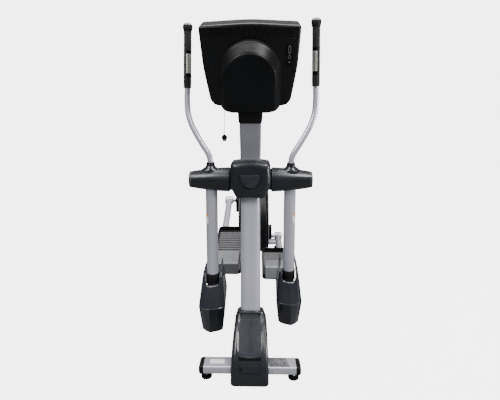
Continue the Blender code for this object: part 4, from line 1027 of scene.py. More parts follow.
class TRAINER_OT_swing_arms(TrainerOperator):
    """Build both swing arms: sleeve, handle, grip, lower arm and boot"""
    bl_idname = "trainer.build_swing_arms"
    bl_label = "Swing arms"

    def build(self, sizes):
        for prefix, side in SIDES:
            place = arm_place(prefix)
            body = prefix + "_arm"
            self.sleeve(prefix, side, place, body)
            route = self.route(side)
            self.handle(prefix, side, place, body, route, sizes)
            self.grip(prefix, side, place, body, route, sizes)
            self.lower(prefix, side, place, body, sizes)
            self.boot(prefix, side, place, body)

    def route(self, side):
        """Centreline of the handle: out and up from the sleeve, then nearly upright."""
        stations = ((0.2083, 0.000, 0.0600), (0.2083, 0.000, 0.090), (0.2180, 0.004, 0.130), (0.2500, 0.014, 0.180),
                    (0.2830, 0.028, 0.232), (0.3130, 0.046, 0.287), (0.3320, 0.064, 0.345), (0.3375, 0.078, 0.410),
                    (0.3370, 0.088, 0.475), (0.3360, 0.099, 0.600), (0.3345, 0.110, 0.730), (0.3340, 0.1145, 0.785))
        return [Vector((side * x, y, z)) for x, y, z in catmull(stations, 8)]

    def sleeve(self, prefix, side, place, body):
        inner, outer = 0.1085, 0.3190

        def radius(x):
            t = (x - inner) / (outer - inner)
            return 0.0634 - 0.0070 * t - 0.0154 * t * t

        points = [(inner - 0.0008, 0.0), (inner - 0.0008, radius(inner) - 0.0060), (inner, radius(inner) - 0.0012),
                  (inner + 0.0012, radius(inner))]
        points += [(x, radius(x)) for x in (inner + 0.002 + (outer - 0.016 - inner) * i / 24 for i in range(25))]
        end = ((0.0130, 0.0415), (0.0120, 0.0405), (0.0100, 0.0405), (0.0090, 0.0418), (0.0035, 0.0410),
               (0.0008, 0.0385), (0.0, 0.0350), (0.0002, 0.0240), (0.0022, 0.0235), (0.0022, 0.0))
        points += [(outer - back, r) for back, r in end]
        piece(prefix + "_sleeve_shell", turned(sided(points, side), "X", 96), "charcoal", body,
              (prefix + "_cone_sleeve",), place, sharp=28.0)
        bands = bmesh.new()
        for x in (outer - 0.0118, outer - 0.0040):
            profile = ((x, 0.030), (x, 0.0420), (x + 0.0005, 0.0428), (x + 0.0013, 0.0428),
                       (x + 0.0018, 0.0420), (x + 0.0018, 0.030))
            turned(sided(profile, side), "X", 96, bm=bands)
        piece(prefix + "_sleeve_bands", bands, "silver_plastic", body, (), place)
        foot = side * 0.2083
        flare = catmull(((0.036, 0.064, 0.040), (0.052, 0.048, 0.036), (0.060, 0.0360, 0.0320),
                         (0.067, 0.0275, 0.0270), (0.074, 0.0232, 0.0232), (0.081, 0.0220, 0.0220),
                         (0.084, 0.0200, 0.0200)), 4)
        collar = ((0.078, 0.0205), (0.0790, 0.0216), (0.0890, 0.0208), (0.0905, 0.0196), (0.0905, 0.0158))
        for name, stations, finish_name in (("gusset", flare, "charcoal"),
                                            ("handle_collar", [(z, r, r) for z, r in collar], "black_trim")):
            rings = [[(foot + a * u, b * v, z) for u, v in circle(1.0)] for z, a, b in stations]
            piece(f"{prefix}_{name}", loft(rings), finish_name, body, (), place)

    def handle(self, prefix, side, place, body, route, sizes):
        tube = tube_rings(route, [sizes.tube_radius] * len(route), 32)
        piece(prefix + "_handle_bar", loft(tube), "silver_paint", body, (prefix + "_handle_tube",), place)

    def grip(self, prefix, side, place, body, route, sizes):
        path = [p for p in route if p.z > 0.470]
        rise = (path[-1] - path[-2]).normalized()
        radius = sizes.grip_radius
        radii = [radius + 0.00025 * math.sin(p.z * 190.0) + 0.0002 * math.sin(p.z * 77.0 + side) for p in path]
        start = path[0]
        along = (path[1] - path[0]).normalized()
        outside = [start - along * 0.0005, start, start + along * 0.0015] + path[1:]
        radii = [radius - 0.0035, radius - 0.0015, radius - 0.0002] + radii[1:]
        foam = piece(prefix + "_grip_foam", loft(tube_rings(outside, radii, 40)), "grip_foam", body,
                     (prefix + "_grip",), place)
        cap = catmull(((-0.0160, 0.0207), (-0.0120, 0.0216), (-0.0040, 0.0240), (0.0040, 0.0256),
                       (0.0130, 0.0261), (0.0160, 0.0261), (0.0172, 0.0254)), 4)
        turns = [math.radians(degrees) for degrees in range(0, 88, 8)]
        crown = [(0.0160, 0.0236), (0.0164, 0.0252)]
        crown += [(0.0170 + 0.0163 * math.sin(turn), 0.0252 * math.cos(turn)) for turn in turns]
        for name, profile, finish_name in (("grip_cap", cap, "rubber"), ("grip_crown", crown, "crown")):
            rings = tube_rings([path[-1] + rise * reach for reach, _ in profile], [r for _, r in profile], 48)
            piece(f"{prefix}_{name}", loft(rings), finish_name, body, (), place)
        self.sensor(prefix, side, place, body, route, radius)

    def sensor(self, prefix, side, place, body, route, radius):
        """Two bright contact strips in a black carrier, facing in and away from the user."""
        facing_turn = -1.12 if side > 0 else math.pi + 1.12
        path = [p for p in route if 0.530 < p.z < 0.675]

        def strip(centre, span, lift, trim, name, finish_name, stands_for=()):
            points = path[trim:len(path) - trim]
            arc = (centre - span / 2, span)
            outer = tube_rings(points, [radius + lift] * len(points), 12, arc)
            inner = tube_rings(points, [radius - 0.0004] * len(points), 12, arc)
            closed = [one + two[::-1] for one, two in zip(outer, inner)]
            piece(name, loft(closed), finish_name, body, stands_for, place, bevel=0.0004)

        strip(facing_turn, 1.46, 0.0009, 0, prefix + "_pulse_carrier", "black_trim")
        strip(facing_turn - 0.34, 0.56, 0.0017, 1, prefix + "_pulse_strip_a", "contact", (prefix + "_pulse_sensor",))
        strip(facing_turn + 0.34, 0.56, 0.0017, 1, prefix + "_pulse_strip_b", "contact")

    def lower(self, prefix, side, place, body, sizes):
        x = centre_of(*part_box(prefix + "_lower_arm")).x
        radius = sizes.arm_radius
        profile = ((-0.698, 0.0), (-0.698, radius - 0.001), (-0.697, radius), (-0.036, radius), (-0.036, 0.0))
        tube = turned(profile, "Z", 64, (x, 0.0, 0.0))
        piece(prefix + "_arm_tube", tube, "silver_paint", body, (prefix + "_lower_arm",), place)
        reach = (anchor(prefix + "_beam_pivot") - anchor(prefix + "_arm_swing")).length
        eye = ((-0.027, 0.0108), (-0.027, 0.0255), (-0.0255, 0.027), (0.0255, 0.027), (0.027, 0.0255),
               (0.027, 0.0108))
        piece(prefix + "_arm_eye", turned(eye, "X", 48, (x, 0.0, -reach)), "zinc", body, (), place)
        foot, top = (corner.z for corner in local_box(prefix + "_arm_collar", place))
        band = ((foot, 0.0003), (foot, 0.0030), (foot + 0.002, 0.0040), (foot + 0.010, 0.0040),
                (foot + 0.011, 0.0034), (foot + 0.0125, 0.0034), (foot + 0.0135, 0.0040), (top - 0.003, 0.0038),
                (top - 0.001, 0.0028), (top, 0.0012), (top, 0.0003))
        piece(prefix + "_arm_band", turned([(z, radius + proud) for z, proud in band], "Z", 64, (x, 0.0, 0.0)),
              "rubber", body, (prefix + "_arm_collar",), place)
        self.label(prefix, side, place, body, x, radius)

    def label(self, prefix, side, place, body, x, radius):
        """Blank label wrapped round the outer side of the lower arm."""
        outward = (0.0 if side > 0 else math.pi) - side * 0.50
        low, high = -0.232, -0.180
        FINISHES["arm_label"] = label_finish(prefix + "_arm_label", (place @ Vector((x, 0.0, low))).z,
                                             (place @ Vector((x, 0.0, high))).z)
        turns = [outward + side * (k / 10 - 0.5) * 1.10 for k in range(11)]
        outer = radius + 0.0004
        skin = []
        for z in (low, (low + high) / 2, high):
            film = [(x + outer * math.cos(t), outer * math.sin(t), z) for t in turns]
            back = [(x + 0.985 * outer * math.cos(t), 0.985 * outer * math.sin(t), z) for t in turns]
            skin.append(film + back[::-1])
        piece(prefix + "_arm_blank_label", loft(skin), "arm_label", body, (), place)

    def boot(self, prefix, side, place, body):
        """Moulded boot: creased front with a ridge, and cheeks that rise behind the arm."""
        x = centre_of(*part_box(prefix + "_boot")).x
        crease = side * 0.012
        # height, half width, front, rear, lift of the cheeks
        stations = ((-0.8262, 0.0500, -0.044, 0.105, 0.000), (-0.8235, 0.0535, -0.052, 0.115, 0.000),
                    (-0.8150, 0.0548, -0.060, 0.125, 0.000), (-0.7600, 0.0600, -0.073, 0.136, 0.000),
                    (-0.7100, 0.0648, -0.084, 0.146, 0.000), (-0.6780, 0.0680, -0.0905, 0.150, 0.000),
                    (-0.6720, 0.0684, -0.0925, 0.150, 0.000), (-0.6640, 0.0685, -0.0890, 0.150, 0.000),
                    (-0.6400, 0.0670, -0.0770, 0.146, 0.012), (-0.6050, 0.0645, -0.0610, 0.138, 0.036),
                    (-0.5750, 0.0625, -0.0480, 0.128, 0.066), (-0.5640, 0.0620, -0.0430, 0.124, 0.078))
        corner_depth = 0.030

        def front_at(u, half, front):
            """Front of the boot across it, for u from -1 to 1: two flats that meet at the crease."""
            fold = abs(u - crease / half * (1 - abs(u))) * 1.8
            return front + 0.012 * fold + 0.018 * abs(u) ** 6

        rows = []
        for z, half, front, rear, lift in stations:
            cheek = [(half * (0.92 + 0.08 * k / 12), rear + (front + corner_depth - rear) * k / 12)
                     for k in range(13)]
            across = [-1 + 2 * k / 32 for k in range(1, 32)]
            row = [(x - a, b) for a, b in cheek]
            row += [(x + half * u, front_at(u, half, front)) for u in across]
            row += [(x + a, b) for a, b in cheek[::-1]]
            line = []
            for a, b in row:
                back = math.sin(math.pi / 2 * min(1.0, max(0.0, (b - front - 0.010) / 0.085)))
                corner = max(0.0, min(1.0, (abs(a - x) / half - 0.40) / 0.55))
                raised = max(back, 0.75 * corner * corner * (3 - 2 * corner))
                line.append((x + (a - x) * (1 - 3.2 * lift * raised), b, z + lift * raised))
            rows.append(line)
        floor = [[(x + (a - x) * share, b * share + 0.03 * (1 - share), stations[0][0]) for a, b, _ in rows[0]]
                 for share in (0.62, 0.86)]
        piece(prefix + "_boot_shell", grid(floor + rows), "gloss_charcoal", body, (prefix + "_boot",), place,
              sharp=24.0, shell=0.0050)
        z, half, front, _, _ = stations[6]
        across = [-1 + 2 * k / 32 for k in range(33)]
        lip = [[(x + (half + out) * u, front_at(u, half, front) - out, z + dz) for u in across]
               for dz, out in ((-0.0030, -0.0004), (-0.0014, 0.0008), (0.0014, 0.0008), (0.0030, -0.0004))]
        piece(prefix + "_boot_lip", slab(lip, (0.0, 0.002, 0.0)), "gloss_charcoal", body, (), place)


class TRAINER_OT_pedals(TrainerOperator):
    """Build both pedal beams with their ribbed footplates and toe blocks"""
    bl_idname = "trainer.build_pedals"
    bl_label = "Pedal beams"

    def build(self, sizes):
        for prefix, side in SIDES:
            place = beam_place(prefix, side)
            body = prefix + "_beam"
            x = centre_of(*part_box(prefix + "_lower_arm")).x
            rod = (crank_pin(prefix, side) - anchor(prefix + "_beam_pivot")).length
            self.beam(prefix, side, place, body, x, rod, sizes)
            self.plate(prefix, place, body, sizes)

    def beam(self, prefix, side, place, body, x, rod, sizes):
        radius = sizes.beam_radius
        profile = ((0.070, 0.0), (0.070, radius - 0.002), (0.072, radius), (rod - 0.010, radius),
                   (rod - 0.010, 0.0))
        piece(prefix + "_beam_tube", turned(profile, "Y", 56, (x, 0.0, 0.0)), "silver_paint", body,
              (prefix + "_pedal_beam",), place)
        fork = brick((x - 0.0425, x + 0.0425), (0.058, 0.086), (-0.018, 0.018))
        for cheek in (-1, 1):
            edges = sorted((x + cheek * 0.0325, x + cheek * 0.0424))
            prism(hull((0.0, 0.0), 0.022, (0.075, 0.0), 0.0175, 16), "X", *edges, bm=fork)
        piece(prefix + "_beam_fork", fork, "silver_paint", body, (), place, bevel=0.0014)
        pin = turned(((-0.0412, 0.0), (-0.0412, 0.0090), (-0.0402, 0.0100), (0.0402, 0.0100), (0.0412, 0.0090),
                      (0.0412, 0.0)), "X", 32, (x, 0.0, 0.0))
        piece(prefix + "_pivot_pin", pin, "steel", body, (), place)
        hub = turned(((-0.030, 0.0), (-0.030, 0.0290), (-0.028, 0.0315), (-0.024, 0.0320), (0.024, 0.0320),
                      (0.028, 0.0315), (0.030, 0.0290), (0.030, 0.0)), "X", 64, (x, rod, 0.0))
        piece(prefix + "_rear_hub", hub, "silver_paint", body, (), place)
        cap = ((0.0296, 0.0), (0.0296, 0.0285), (0.0310, 0.0285), (0.0335, 0.0270), (0.0350, 0.0225),
               (0.0352, 0.0))
        piece(prefix + "_hub_cap", turned(sided(cap, side), "X", 64, (x, rod, 0.0)), "black_plastic", body, (),
              place)
        rings = []
        for i, (u, v) in enumerate(circle(1.0)):
            out = Vector((u, 0.0, v))
            ripple = 0.0006 * math.sin(math.tau * i / 48 * 11)
            point = Vector((x, 0.0868 + ripple, 0.0)) + out * (radius + 0.0008)
            thick = 0.0018 + 0.0003 * math.sin(i * 2.7)
            rings.append([point + out * a + Vector((0.0, b, 0.0)) for a, b in circle(thick, 8)])
        piece(prefix + "_beam_weld", loft(rings, loop=True), "silver_paint", body, (), place)

    def plate(self, prefix, place, body, sizes):
        low, high = local_box(prefix + "_footplate", place)
        heel = high.y
        base = low.z
        self.tray(prefix, place, body, low, high)
        toe_low, toe_high = local_box(prefix + "_toe_block", place)
        start = toe_high.y + 0.004
        end = heel - 0.030
        pitch = (end - start) / sizes.tread_ribs
        floor = base + 0.0183
        inner_low = low.x + 0.0105
        inner_high = high.x - 0.0105
        base_skin = brick((inner_low, inner_high), (toe_low.y, end), (floor - 0.0004, floor + 0.0006))
        piece(prefix + "_tread_floor", base_skin, "black_trim", body, (), place)
        tread = bmesh.new()
        for i in range(sizes.tread_ribs):
            y = start + pitch * i
            profile = [(y + pitch * along, floor + up) for along, up in
                       ((0.0, 0.0), (0.10, 0.0052), (0.35, 0.0060), (0.60, 0.0052), (0.68, 0.0))]
            prism(profile, "X", inner_low, inner_high, tread)
        side_ribs = 5
        first = toe_low.y + 0.006
        step = (start - toe_low.y - 0.010) / side_ribs
        run = [(first, floor)]
        for i in range(side_ribs):
            run += [(first + step * (i + along), floor + up) for along, up in
                    ((0.2, 0.0050), (0.65, 0.0054), (0.8, 0.0012))]
        run += [(start - 0.004, floor)]
        for x0, x1 in ((inner_low, toe_low.x - 0.003), (toe_high.x + 0.003, inner_high)):
            prism(run, "X", x0, x1, tread)
        piece(prefix + "_tread", tread, "tread", body, (), place, bevel=0.0007)
        self.toe(prefix, place, body, low, toe_low, toe_high)

    def tray(self, prefix, place, body, low, high):
        """Black tray with a rolled rim that rises behind the heel."""
        base = low.z
        middle, centre, _ = centre_of(low, high)
        wall = 0.0065

        def rim_at(y):
            share = min(1.0, max(0.0, (y - (high.y - 0.100)) / 0.070))
            return base + 0.030 + 0.0165 * share * share * (3 - 2 * share)

        def level(inset, height):
            shape = rounded_rect(high.x - low.x - 2 * inset, high.y - low.y - 2 * inset, max(0.012, 0.030 - inset),
                                 12)
            return [(middle + a, centre + b, height(centre + b)) for a, b in shape]

        rings = [level(0.006, lambda y: base), level(0.0015, lambda y: base + 0.0012),
                 level(0.0, lambda y: base + 0.004), level(0.0, lambda y: rim_at(y) - 0.003),
                 level(0.0008, lambda y: rim_at(y) - 0.0008), level(0.0025, rim_at), level(wall - 0.002, rim_at),
                 level(wall - 0.0004, lambda y: rim_at(y) - 0.001), level(wall, lambda y: rim_at(y) - 0.003),
                 level(wall + 0.0006, lambda y: base + 0.0185), level(wall + 0.003, lambda y: base + 0.018)]
        piece(prefix + "_tray", loft(rings), "black_plastic", body, (prefix + "_footplate",), place, sharp=40.0)

    def toe(self, prefix, place, body, plate_low, toe_low, toe_high):
        """Toe block that slopes down to the tread, with a plain inlay on its top."""
        front = plate_low.y - 0.0012
        foot = plate_low.z + 0.004
        top = toe_high.z
        length = toe_high.y - front
        fall = 0.010 / (length - 0.020)
        shape = fillet_outline(((front, foot, 0.004), (front + 0.002, top, 0.008),
                                (front + length - 0.020, top - 0.010, 0.014), (front + length, foot + 0.020, 0.003)),
                               8)
        block = piece(prefix + "_toe_cover", prism(shape, "X", toe_low.x, toe_high.x), "silver_plastic", body,
                      (prefix + "_toe_block",), place, bevel=0.0035)
        block.modifiers["rounding"].segments = 4
        panel = [[(x, y, top + 0.0004 - fall * (y - front)) for x in (toe_low.x + 0.010, toe_high.x - 0.010)]
                 for y in (front + 0.022, front + length - 0.040)]
        piece(prefix + "_toe_panel", slab(panel, (0.0, 0.0, -0.003)), "crown", body, (), place, bevel=0.0006)


class TRAINER_OT_cranks(TrainerOperator):
    """Build the turning crank discs and crank arms"""
    bl_idname = "trainer.build_cranks"
    bl_label = "Cranks"

    def build(self, sizes):
        place = crank_place()
        for prefix, side in SIDES:
            self.disc(prefix, side, place)
            self.arm(prefix, side, place, sizes)

    def disc(self, prefix, side, place):
        start = 0.1073
        cover = ((0.0, 0.0), (0.0, 0.2372), (0.0008, 0.2380), (0.0025, 0.2398), (0.0090, 0.2398),
                 (0.0108, 0.2380), (0.0122, 0.2340), (0.0133, 0.2270), (0.0134, 0.2030), (0.0118, 0.2010),
                 (0.0118, 0.0950), (0.0132, 0.0930), (0.0134, 0.0))
        # Pale ring on the disc's outer rim: a painted highlight of the rim's rounded edge.
        trim = ((0.0098, 0.2300), (0.0098, 0.2392), (0.0108, 0.2400), (0.0130, 0.2385), (0.0137, 0.2350),
                (0.0137, 0.2300))
        for name, profile, finish_name, stands_for, sharp in (
                ("disc_cover", cover, "black_plastic", (prefix + "_crank_disc",), 28.0),
                ("disc_rim_highlight", trim, "silver_plastic", (), 32.0)):
            rim = sided([(start + out, r) for out, r in profile], side)
            piece(f"{prefix}_{name}", turned(rim, "X", 128), finish_name, "crankset", stands_for, place, sharp=sharp)
        screws = bmesh.new()
        for i in range(6):
            turn = math.tau * (i + 0.5) / 6
            head = turned(((0.0, 0.0), (0.0, 0.0065), (0.0012, 0.0060), (0.0018, 0.0040), (0.0006, 0.0034),
                           (0.0006, 0.0)), "Z", 20)
            spot = (side * (start + 0.0118), 0.150 * math.cos(turn), 0.150 * math.sin(turn))
            merge(screws, moved(head, facing(spot, (side, 0.0, 0.0))))
        piece(prefix + "_disc_screws", screws, "black_trim", "crankset", (), place)

    def arm(self, prefix, side, place, sizes):
        up = -side
        radius = sizes.crank_arm_radius
        throw = (crank_pin(prefix, side) - anchor("crank_turn")).length
        box_low, box_high = local_box(prefix + "_crank_arm", place)
        foot = min(abs(box_low.z), abs(box_high.z)) + radius
        outline = hull((0.0, up * foot), radius, (0.0, up * throw), radius, 32)
        x0, x1 = sorted((side * 0.1211, side * 0.1511))
        piece(prefix + "_crank_bar", prism(outline, "X", x0, x1), "black_plastic", "crankset",
              (prefix + "_crank_arm",), place, bevel=0.0045)
        overlay = hull((0.0, up * foot), 0.0150, (0.0, up * (throw - 0.040)), 0.0130, 20)
        x0, x1 = sorted((side * 0.1508, side * 0.1517))
        piece(prefix + "_crank_inlay", prism(overlay, "X", x0, x1), "gloss_charcoal", "crankset", (), place,
              bevel=0.0004)
        pin = ((0.150, 0.0), (0.150, 0.0200), (0.1525, 0.0200), (0.1530, 0.0190), (0.1530, 0.0160),
               (0.1712, 0.0160), (0.1724, 0.0148), (0.1724, 0.0))
        piece(prefix + "_crank_pin", turned(sided(pin, side), "X", 48, (0.0, 0.0, up * throw)), "steel",
              "crankset", (), place)
        cap = prism(circle(0.0125, 6), "X", *sorted((side * 0.1190, side * 0.1275)))
        washer = ((0.1190, 0.0), (0.1190, 0.0285), (0.1218, 0.0285), (0.1222, 0.0270), (0.1222, 0.0))
        turned(sided(washer, side), "X", 40, bm=cap)
        piece(prefix + "_crank_nut", cap, "zinc", "crankset", (), place, bevel=0.0008)


class TRAINER_OT_housing(TrainerOperator):
    """Build the two shells of the rear drive housing"""
    bl_idname = "trainer.build_housing"
    bl_label = "Drive housing"

    def build(self, sizes):
        centre = anchor("crank_turn")
        wheel = anchor("flywheel_turn")
        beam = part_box("base_beam")[1].z
        for prefix, side in SIDES:
            low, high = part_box(prefix + "_housing")
            outer = max(abs(low.x), abs(high.x))
            inner = min(abs(low.x), abs(high.x))
            hole = self.hole(prefix, outer, centre)
            outline = hull((centre.y, centre.z), 0.27, (wheel.y + 0.01, wheel.z), 0.150, 64)
            stations = [(inner, 0.0), (inner + 0.0012, 0.0), *round_over(outer - 0.016, outer, 0.012, 8)]
            rows = [[(side * x, y, z) for y, z in self.inset(outline, centre, wheel, amount, beam)]
                    for x, amount in stations]
            edge = rows[-1]
            for share in (0.35, 0.7, 1.0):
                ring = []
                for _, y, z in edge:
                    turn = math.atan2(z - centre.z, y - centre.y)
                    rim_y = centre.y + hole * math.cos(turn)
                    rim_z = centre.z + hole * math.sin(turn)
                    ring.append((side * outer, y + (rim_y - y) * share, z + (rim_z - z) * share))
                rows.append(ring)
            rows.append([(side * (outer - 0.006), y, z) for _, y, z in rows[-1]])
            closed = [row + [row[0]] for row in rows]
            skin = grid(closed)
            bmesh.ops.remove_doubles(skin, verts=skin.verts, dist=1e-6)
            piece(prefix + "_housing_shell", skin, "black_plastic", "frame", (prefix + "_housing",), sharp=35.0,
                  shell=0.003)
            self.screws(prefix, side, outer, centre, wheel)

    def inset(self, outline, centre, wheel, amount, floor):
        """Outline drawn in by an amount and cut flat on the beam."""
        made = []
        middle = Vector(((centre.y + wheel.y) / 2, (centre.z + wheel.z) / 2))
        for y, z in outline:
            point = Vector((y, z))
            point = point + (middle - point).normalized() * amount
            made.append((point.x, max(point.y, floor + 0.0003 + amount * 0.3)))
        return made

    def hole(self, prefix, outer, centre):
        """Radius of the round opening in the housing's outer wall."""
        points = [v.co for v in frame["nodes"][prefix + "_housing"].data.vertices]
        face = [p for p in points if abs(abs(p.x) - outer) < 0.0008]
        return min(math.hypot(p.y - centre.y, p.z - centre.z) for p in face)

    def screws(self, prefix, side, outer, centre, wheel):
        heads = bmesh.new()
        for y, z in ((centre.y - 0.205, centre.z - 0.120), (centre.y + 0.010, centre.z + 0.252),
                     (wheel.y + 0.115, wheel.z - 0.060), (wheel.y + 0.100, wheel.z + 0.065),
                     (centre.y + 0.030, centre.z - 0.235)):
            head = turned(((-0.0010, 0.0), (-0.0010, 0.0060), (-0.0002, 0.0056), (-0.0002, 0.0026),
                           (-0.0009, 0.0024), (-0.0009, 0.0)), "Z", 20)
            merge(heads, moved(head, facing((side * outer, y, z), (side, 0.0, 0.0))))
        piece(prefix + "_housing_screws", heads, "zinc", "frame")


class TRAINER_OT_drive(TrainerOperator):
    """Give the hidden drive's own parts their finishes"""
    bl_idname = "trainer.dress_drive"
    bl_label = "Inner drive"

    def build(self, sizes):
        dressing = {"cross_bar": "steel", "crank_axle": "steel", "right_crank_bearing": "zinc",
                    "left_crank_bearing": "zinc", "crank_pulley": "cast_iron", "flywheel": "cast_iron",
                    "drive_belt": "rubber", "idler_pulley": "zinc", "drive_bracket": "grey_paint"}
        for node, name in dressing.items():
            mesh = frame["nodes"][node].data
            for i in range(len(mesh.materials)):
                mesh.materials[i] = FINISHES[name]


class TRAINER_OT_console(TrainerOperator):
    """Build the console: hooded back, dome, display face, keys and sockets"""
    bl_idname = "trainer.build_console"
    bl_label = "Console"

    def outline(self, inset):
        """Outer edge of the console, drawn in by an amount, in the console's plane."""
        top, waist, foot, low = 0.197, 0.236, 0.203, -0.210
        head = 0.2475
        corners = ((head, top, 0.016), (0.0, top + 0.013, 1.2), (-head, top, 0.016), (-waist, 0.0, 0.8),
                   (-foot, low, 0.055), (foot, low, 0.055), (waist, 0.0, 0.8))
        points = fillet_outline(corners, 12)
        middle = Vector((0.0, -0.005))
        made = []
        count = len(points)
        for i, point in enumerate(points):
            here = Vector(point)
            run = Vector(points[(i + 1) % count]) - Vector(points[i - 1])
            normal = Vector((run.y, -run.x)).normalized()
            if normal.dot(middle - here) < 0:
                normal = -normal
            made.append(tuple(here + normal * inset))
        return made

    def build(self, sizes):
        place = console_place()
        slope = self.face_slope(place)
        self.shell(place, slope)
        self.vents(place, sizes)
        self.dome(place)
        self.sockets(place)
        self.face(place, slope)
        self.keys(place)

    def shell(self, place, slope):
        """Back shell, and the front bezel whose face leans by the slope, with its two recesses."""
        back = [(0.0, 0.0165), (0.0008, 0.0120), (0.0030, 0.0080), (0.0058, 0.0045), (0.0098, 0.0018),
                (0.0148, 0.0004), (0.0208, 0.0), (0.0592, 0.0), (0.0598, 0.0006), (0.0598, 0.0040)]
        rings = [[(x, depth, z) for x, z in self.outline(inset)] for depth, inset in back]
        piece("console_back", loft(rings), "hood", "frame", ("console_back_shell",), place, sharp=20.0)
        seam, depth = 0.0605, 0.115
        front = [(seam, 0.0040), (seam, 0.0006), (0.0611, 0.0), (depth - 0.012, 0.0), (depth - 0.0060, 0.0015),
                 (depth - 0.0020, 0.0055), (depth, 0.0120)]
        rings = [[(x, d + slope * z * (d - seam) / (depth - seam), z) for x, z in self.outline(inset)]
                 for d, inset in front]
        bezel = piece("console_bezel", loft(rings), "hood", "frame", ("console_front_bezel",), place, sharp=20.0)
        near = 0.1112
        half = 0.165
        for z0, z1 in ((-0.010, 0.155), (-0.160, -0.030)):
            rows = []
            for y, grow in ((0.0, 0.0), (0.040, 0.010)):
                opening = rounded_rect(2 * (half + grow), z1 - z0 + 2 * grow, 0.012, 6)
                rows.append([(a, near + y + slope * b, b) for a, b in shifted(opening, 0.0, (z0 + z1) / 2)])
            carve(bezel, moved(loft(rows), place))

    def face_slope(self, place):
        """How much deeper the face stands per metre up, from the CAD bezel's own front."""
        back = place.inverted()
        points = [back @ v.co for v in frame["nodes"]["console_front_bezel"].data.vertices]
        top = max((p for p in points if p.z > 0.15), key=lambda p: p.y)
        foot = max((p for p in points if p.z < -0.17), key=lambda p: p.y)
        return (top.y - foot.y) / (top.z - foot.z)

    def vents(self, place, sizes):
        """Slots of the hood, a ridge below them and the shell's screws."""
        slots = bmesh.new()
        count = sizes.vent_slots
        for i in range(count):
            x = -0.200 + 0.400 * (i + 0.5) / count
            prism(shifted(rounded_rect(0.0026, 0.0370, 0.0012, 3), x, 0.1685), "Y", -0.0007, 0.0030, slots)
        piece("console_vent_slots", slots, "black_trim", "frame", (), place)
        ribs = bmesh.new()
        for i in range(count + 1):
            x = -0.200 + 0.400 * i / count
            brick((x - 0.0009, x + 0.0009), (-0.0016, 0.0020), (0.1490, 0.1885), ribs)
        for z in (0.1480, 0.1895):
            brick((-0.2015, 0.2015), (-0.0016, 0.0020), (z - 0.0012, z + 0.0012), ribs)
        piece("console_vent_ribs", ribs, "black_plastic", "frame", (), place, bevel=0.0004)
        section = ((0.0010, 0.1350), (-0.0010, 0.1345), (-0.0014, 0.1330), (-0.0010, 0.1315), (0.0010, 0.1310))
        across = [0.440 * k / 24 - 0.220 for k in range(25)]
        ridge = [[(x, y, z + 0.0020 * (x / 0.22) ** 2) for x in across] for y, z in section]
        piece("console_ridge", grid(ridge), "black_plastic", "frame", (), place, shell=0.0008)
        heads = bmesh.new()
        wells = bmesh.new()
        well = ((-0.0002, 0.0), (-0.0002, 0.0046), (0.0009, 0.0072), (0.0013, 0.0072), (0.0016, 0.0056),
                (0.0004, 0.0038), (0.0004, 0.0))
        forward = (0.0, -1.0, 0.0)
        for x, z in ((-0.223, 0.178), (0.220, 0.178), (-0.211, -0.025), (0.213, -0.025), (0.0, 0.1955),
                     (0.182, -0.190), (-0.182, -0.190)):
            merge(wells, moved(turned(well, "Z", 28), facing((x, 0.0002, z), forward)))
            merge(heads, moved(screw_head(0.0036, 0.0009), facing((x, -0.0001, z), forward)))
        piece("console_screw_wells", wells, "black_trim", "frame", (), place)
        piece("console_screws", heads, "black_trim", "frame", (), place)

    def dome_outline(self, inset, drop):
        """Arch-topped outline of the dome, drawn in by an amount and its arch lowered."""
        radius = 0.153 - inset
        middle = -0.018 - drop
        low = -0.226 + inset * 0.75
        corner = 0.050
        points = []
        for i in range(33):
            turn = math.pi * i / 32
            points.append((radius * math.cos(turn), middle + radius * math.sin(turn)))
        for cx, start in ((-radius + corner, math.pi), (radius - corner, 1.5 * math.pi)):
            for i in range(9):
                turn = start + math.pi / 2 * i / 8
                points.append((cx + corner * math.cos(turn), low + corner + corner * math.sin(turn)))
        return points

    def dome(self, place):
        stations = catmull(((-0.0005, 0.0010, 0.000), (-0.0040, 0.0000, 0.000), (-0.0250, 0.0006, 0.000),
                            (-0.0400, 0.0020, 0.001), (-0.0470, 0.0050, 0.004), (-0.0700, 0.0145, 0.012),
                            (-0.0880, 0.0225, 0.018)), 4)
        stations += [(-0.0890, 0.0228, 0.0185), (-0.0890, 0.0240, 0.0195), (-0.0905, 0.0250, 0.0200)]
        for i in range(1, 9):
            turn = math.pi / 2 * i / 8
            over = 1 - math.cos(turn)
            stations.append((-0.0905 - 0.0095 * math.sin(turn), 0.0250 + 0.020 * over, 0.0200 + 0.008 * over))
        rings = [[(x, depth, z) for x, z in self.dome_outline(inset, drop)] for depth, inset, drop in stations]
        piece("console_dome", loft(rings), "black_plastic", "frame", ("dome_cover",), place, sharp=24.0)
        heads = bmesh.new()
        for x, z in ((-0.124, -0.013), (0.124, -0.013), (-0.118, -0.190), (0.118, -0.190)):
            head = turned(((-0.0060, 0.0), (-0.0060, 0.0068), (0.0002, 0.0075), (0.0009, 0.0068),
                           (0.0009, 0.0056), (-0.0040, 0.0046), (-0.0040, 0.0)), "Z", 28)
            merge(heads, moved(head, facing((x, -0.0800, z), (0.0, -1.0, 0.0))))
        piece("console_dome_screws", heads, "black_trim", "frame", (), place)

    def sockets(self, place):
        """Plain connector panel with a serial socket, a network jack and a round socket."""
        low, high = local_box("connector_panel", place)
        x, _, z = centre_of(low, high)
        front = low.y
        plate = shifted(rounded_rect(high.x - low.x, high.z - low.z, 0.004, 5), x, z)
        piece("socket_panel", prism(plate, "Y", front, high.y), "black_trim", "frame", ("connector_panel",), place,
              bevel=0.0006)

        def collar(outer, inner, up, proud):
            """Raised rim between two outlines."""
            rows = [(front - 0.0002, outer), (front - proud, outer), (front - proud, inner), (front - 0.0002, inner)]
            return loft([[(a, y, b) for a, b in shifted(line, x, z + up)] for y, line in rows], loop=True)

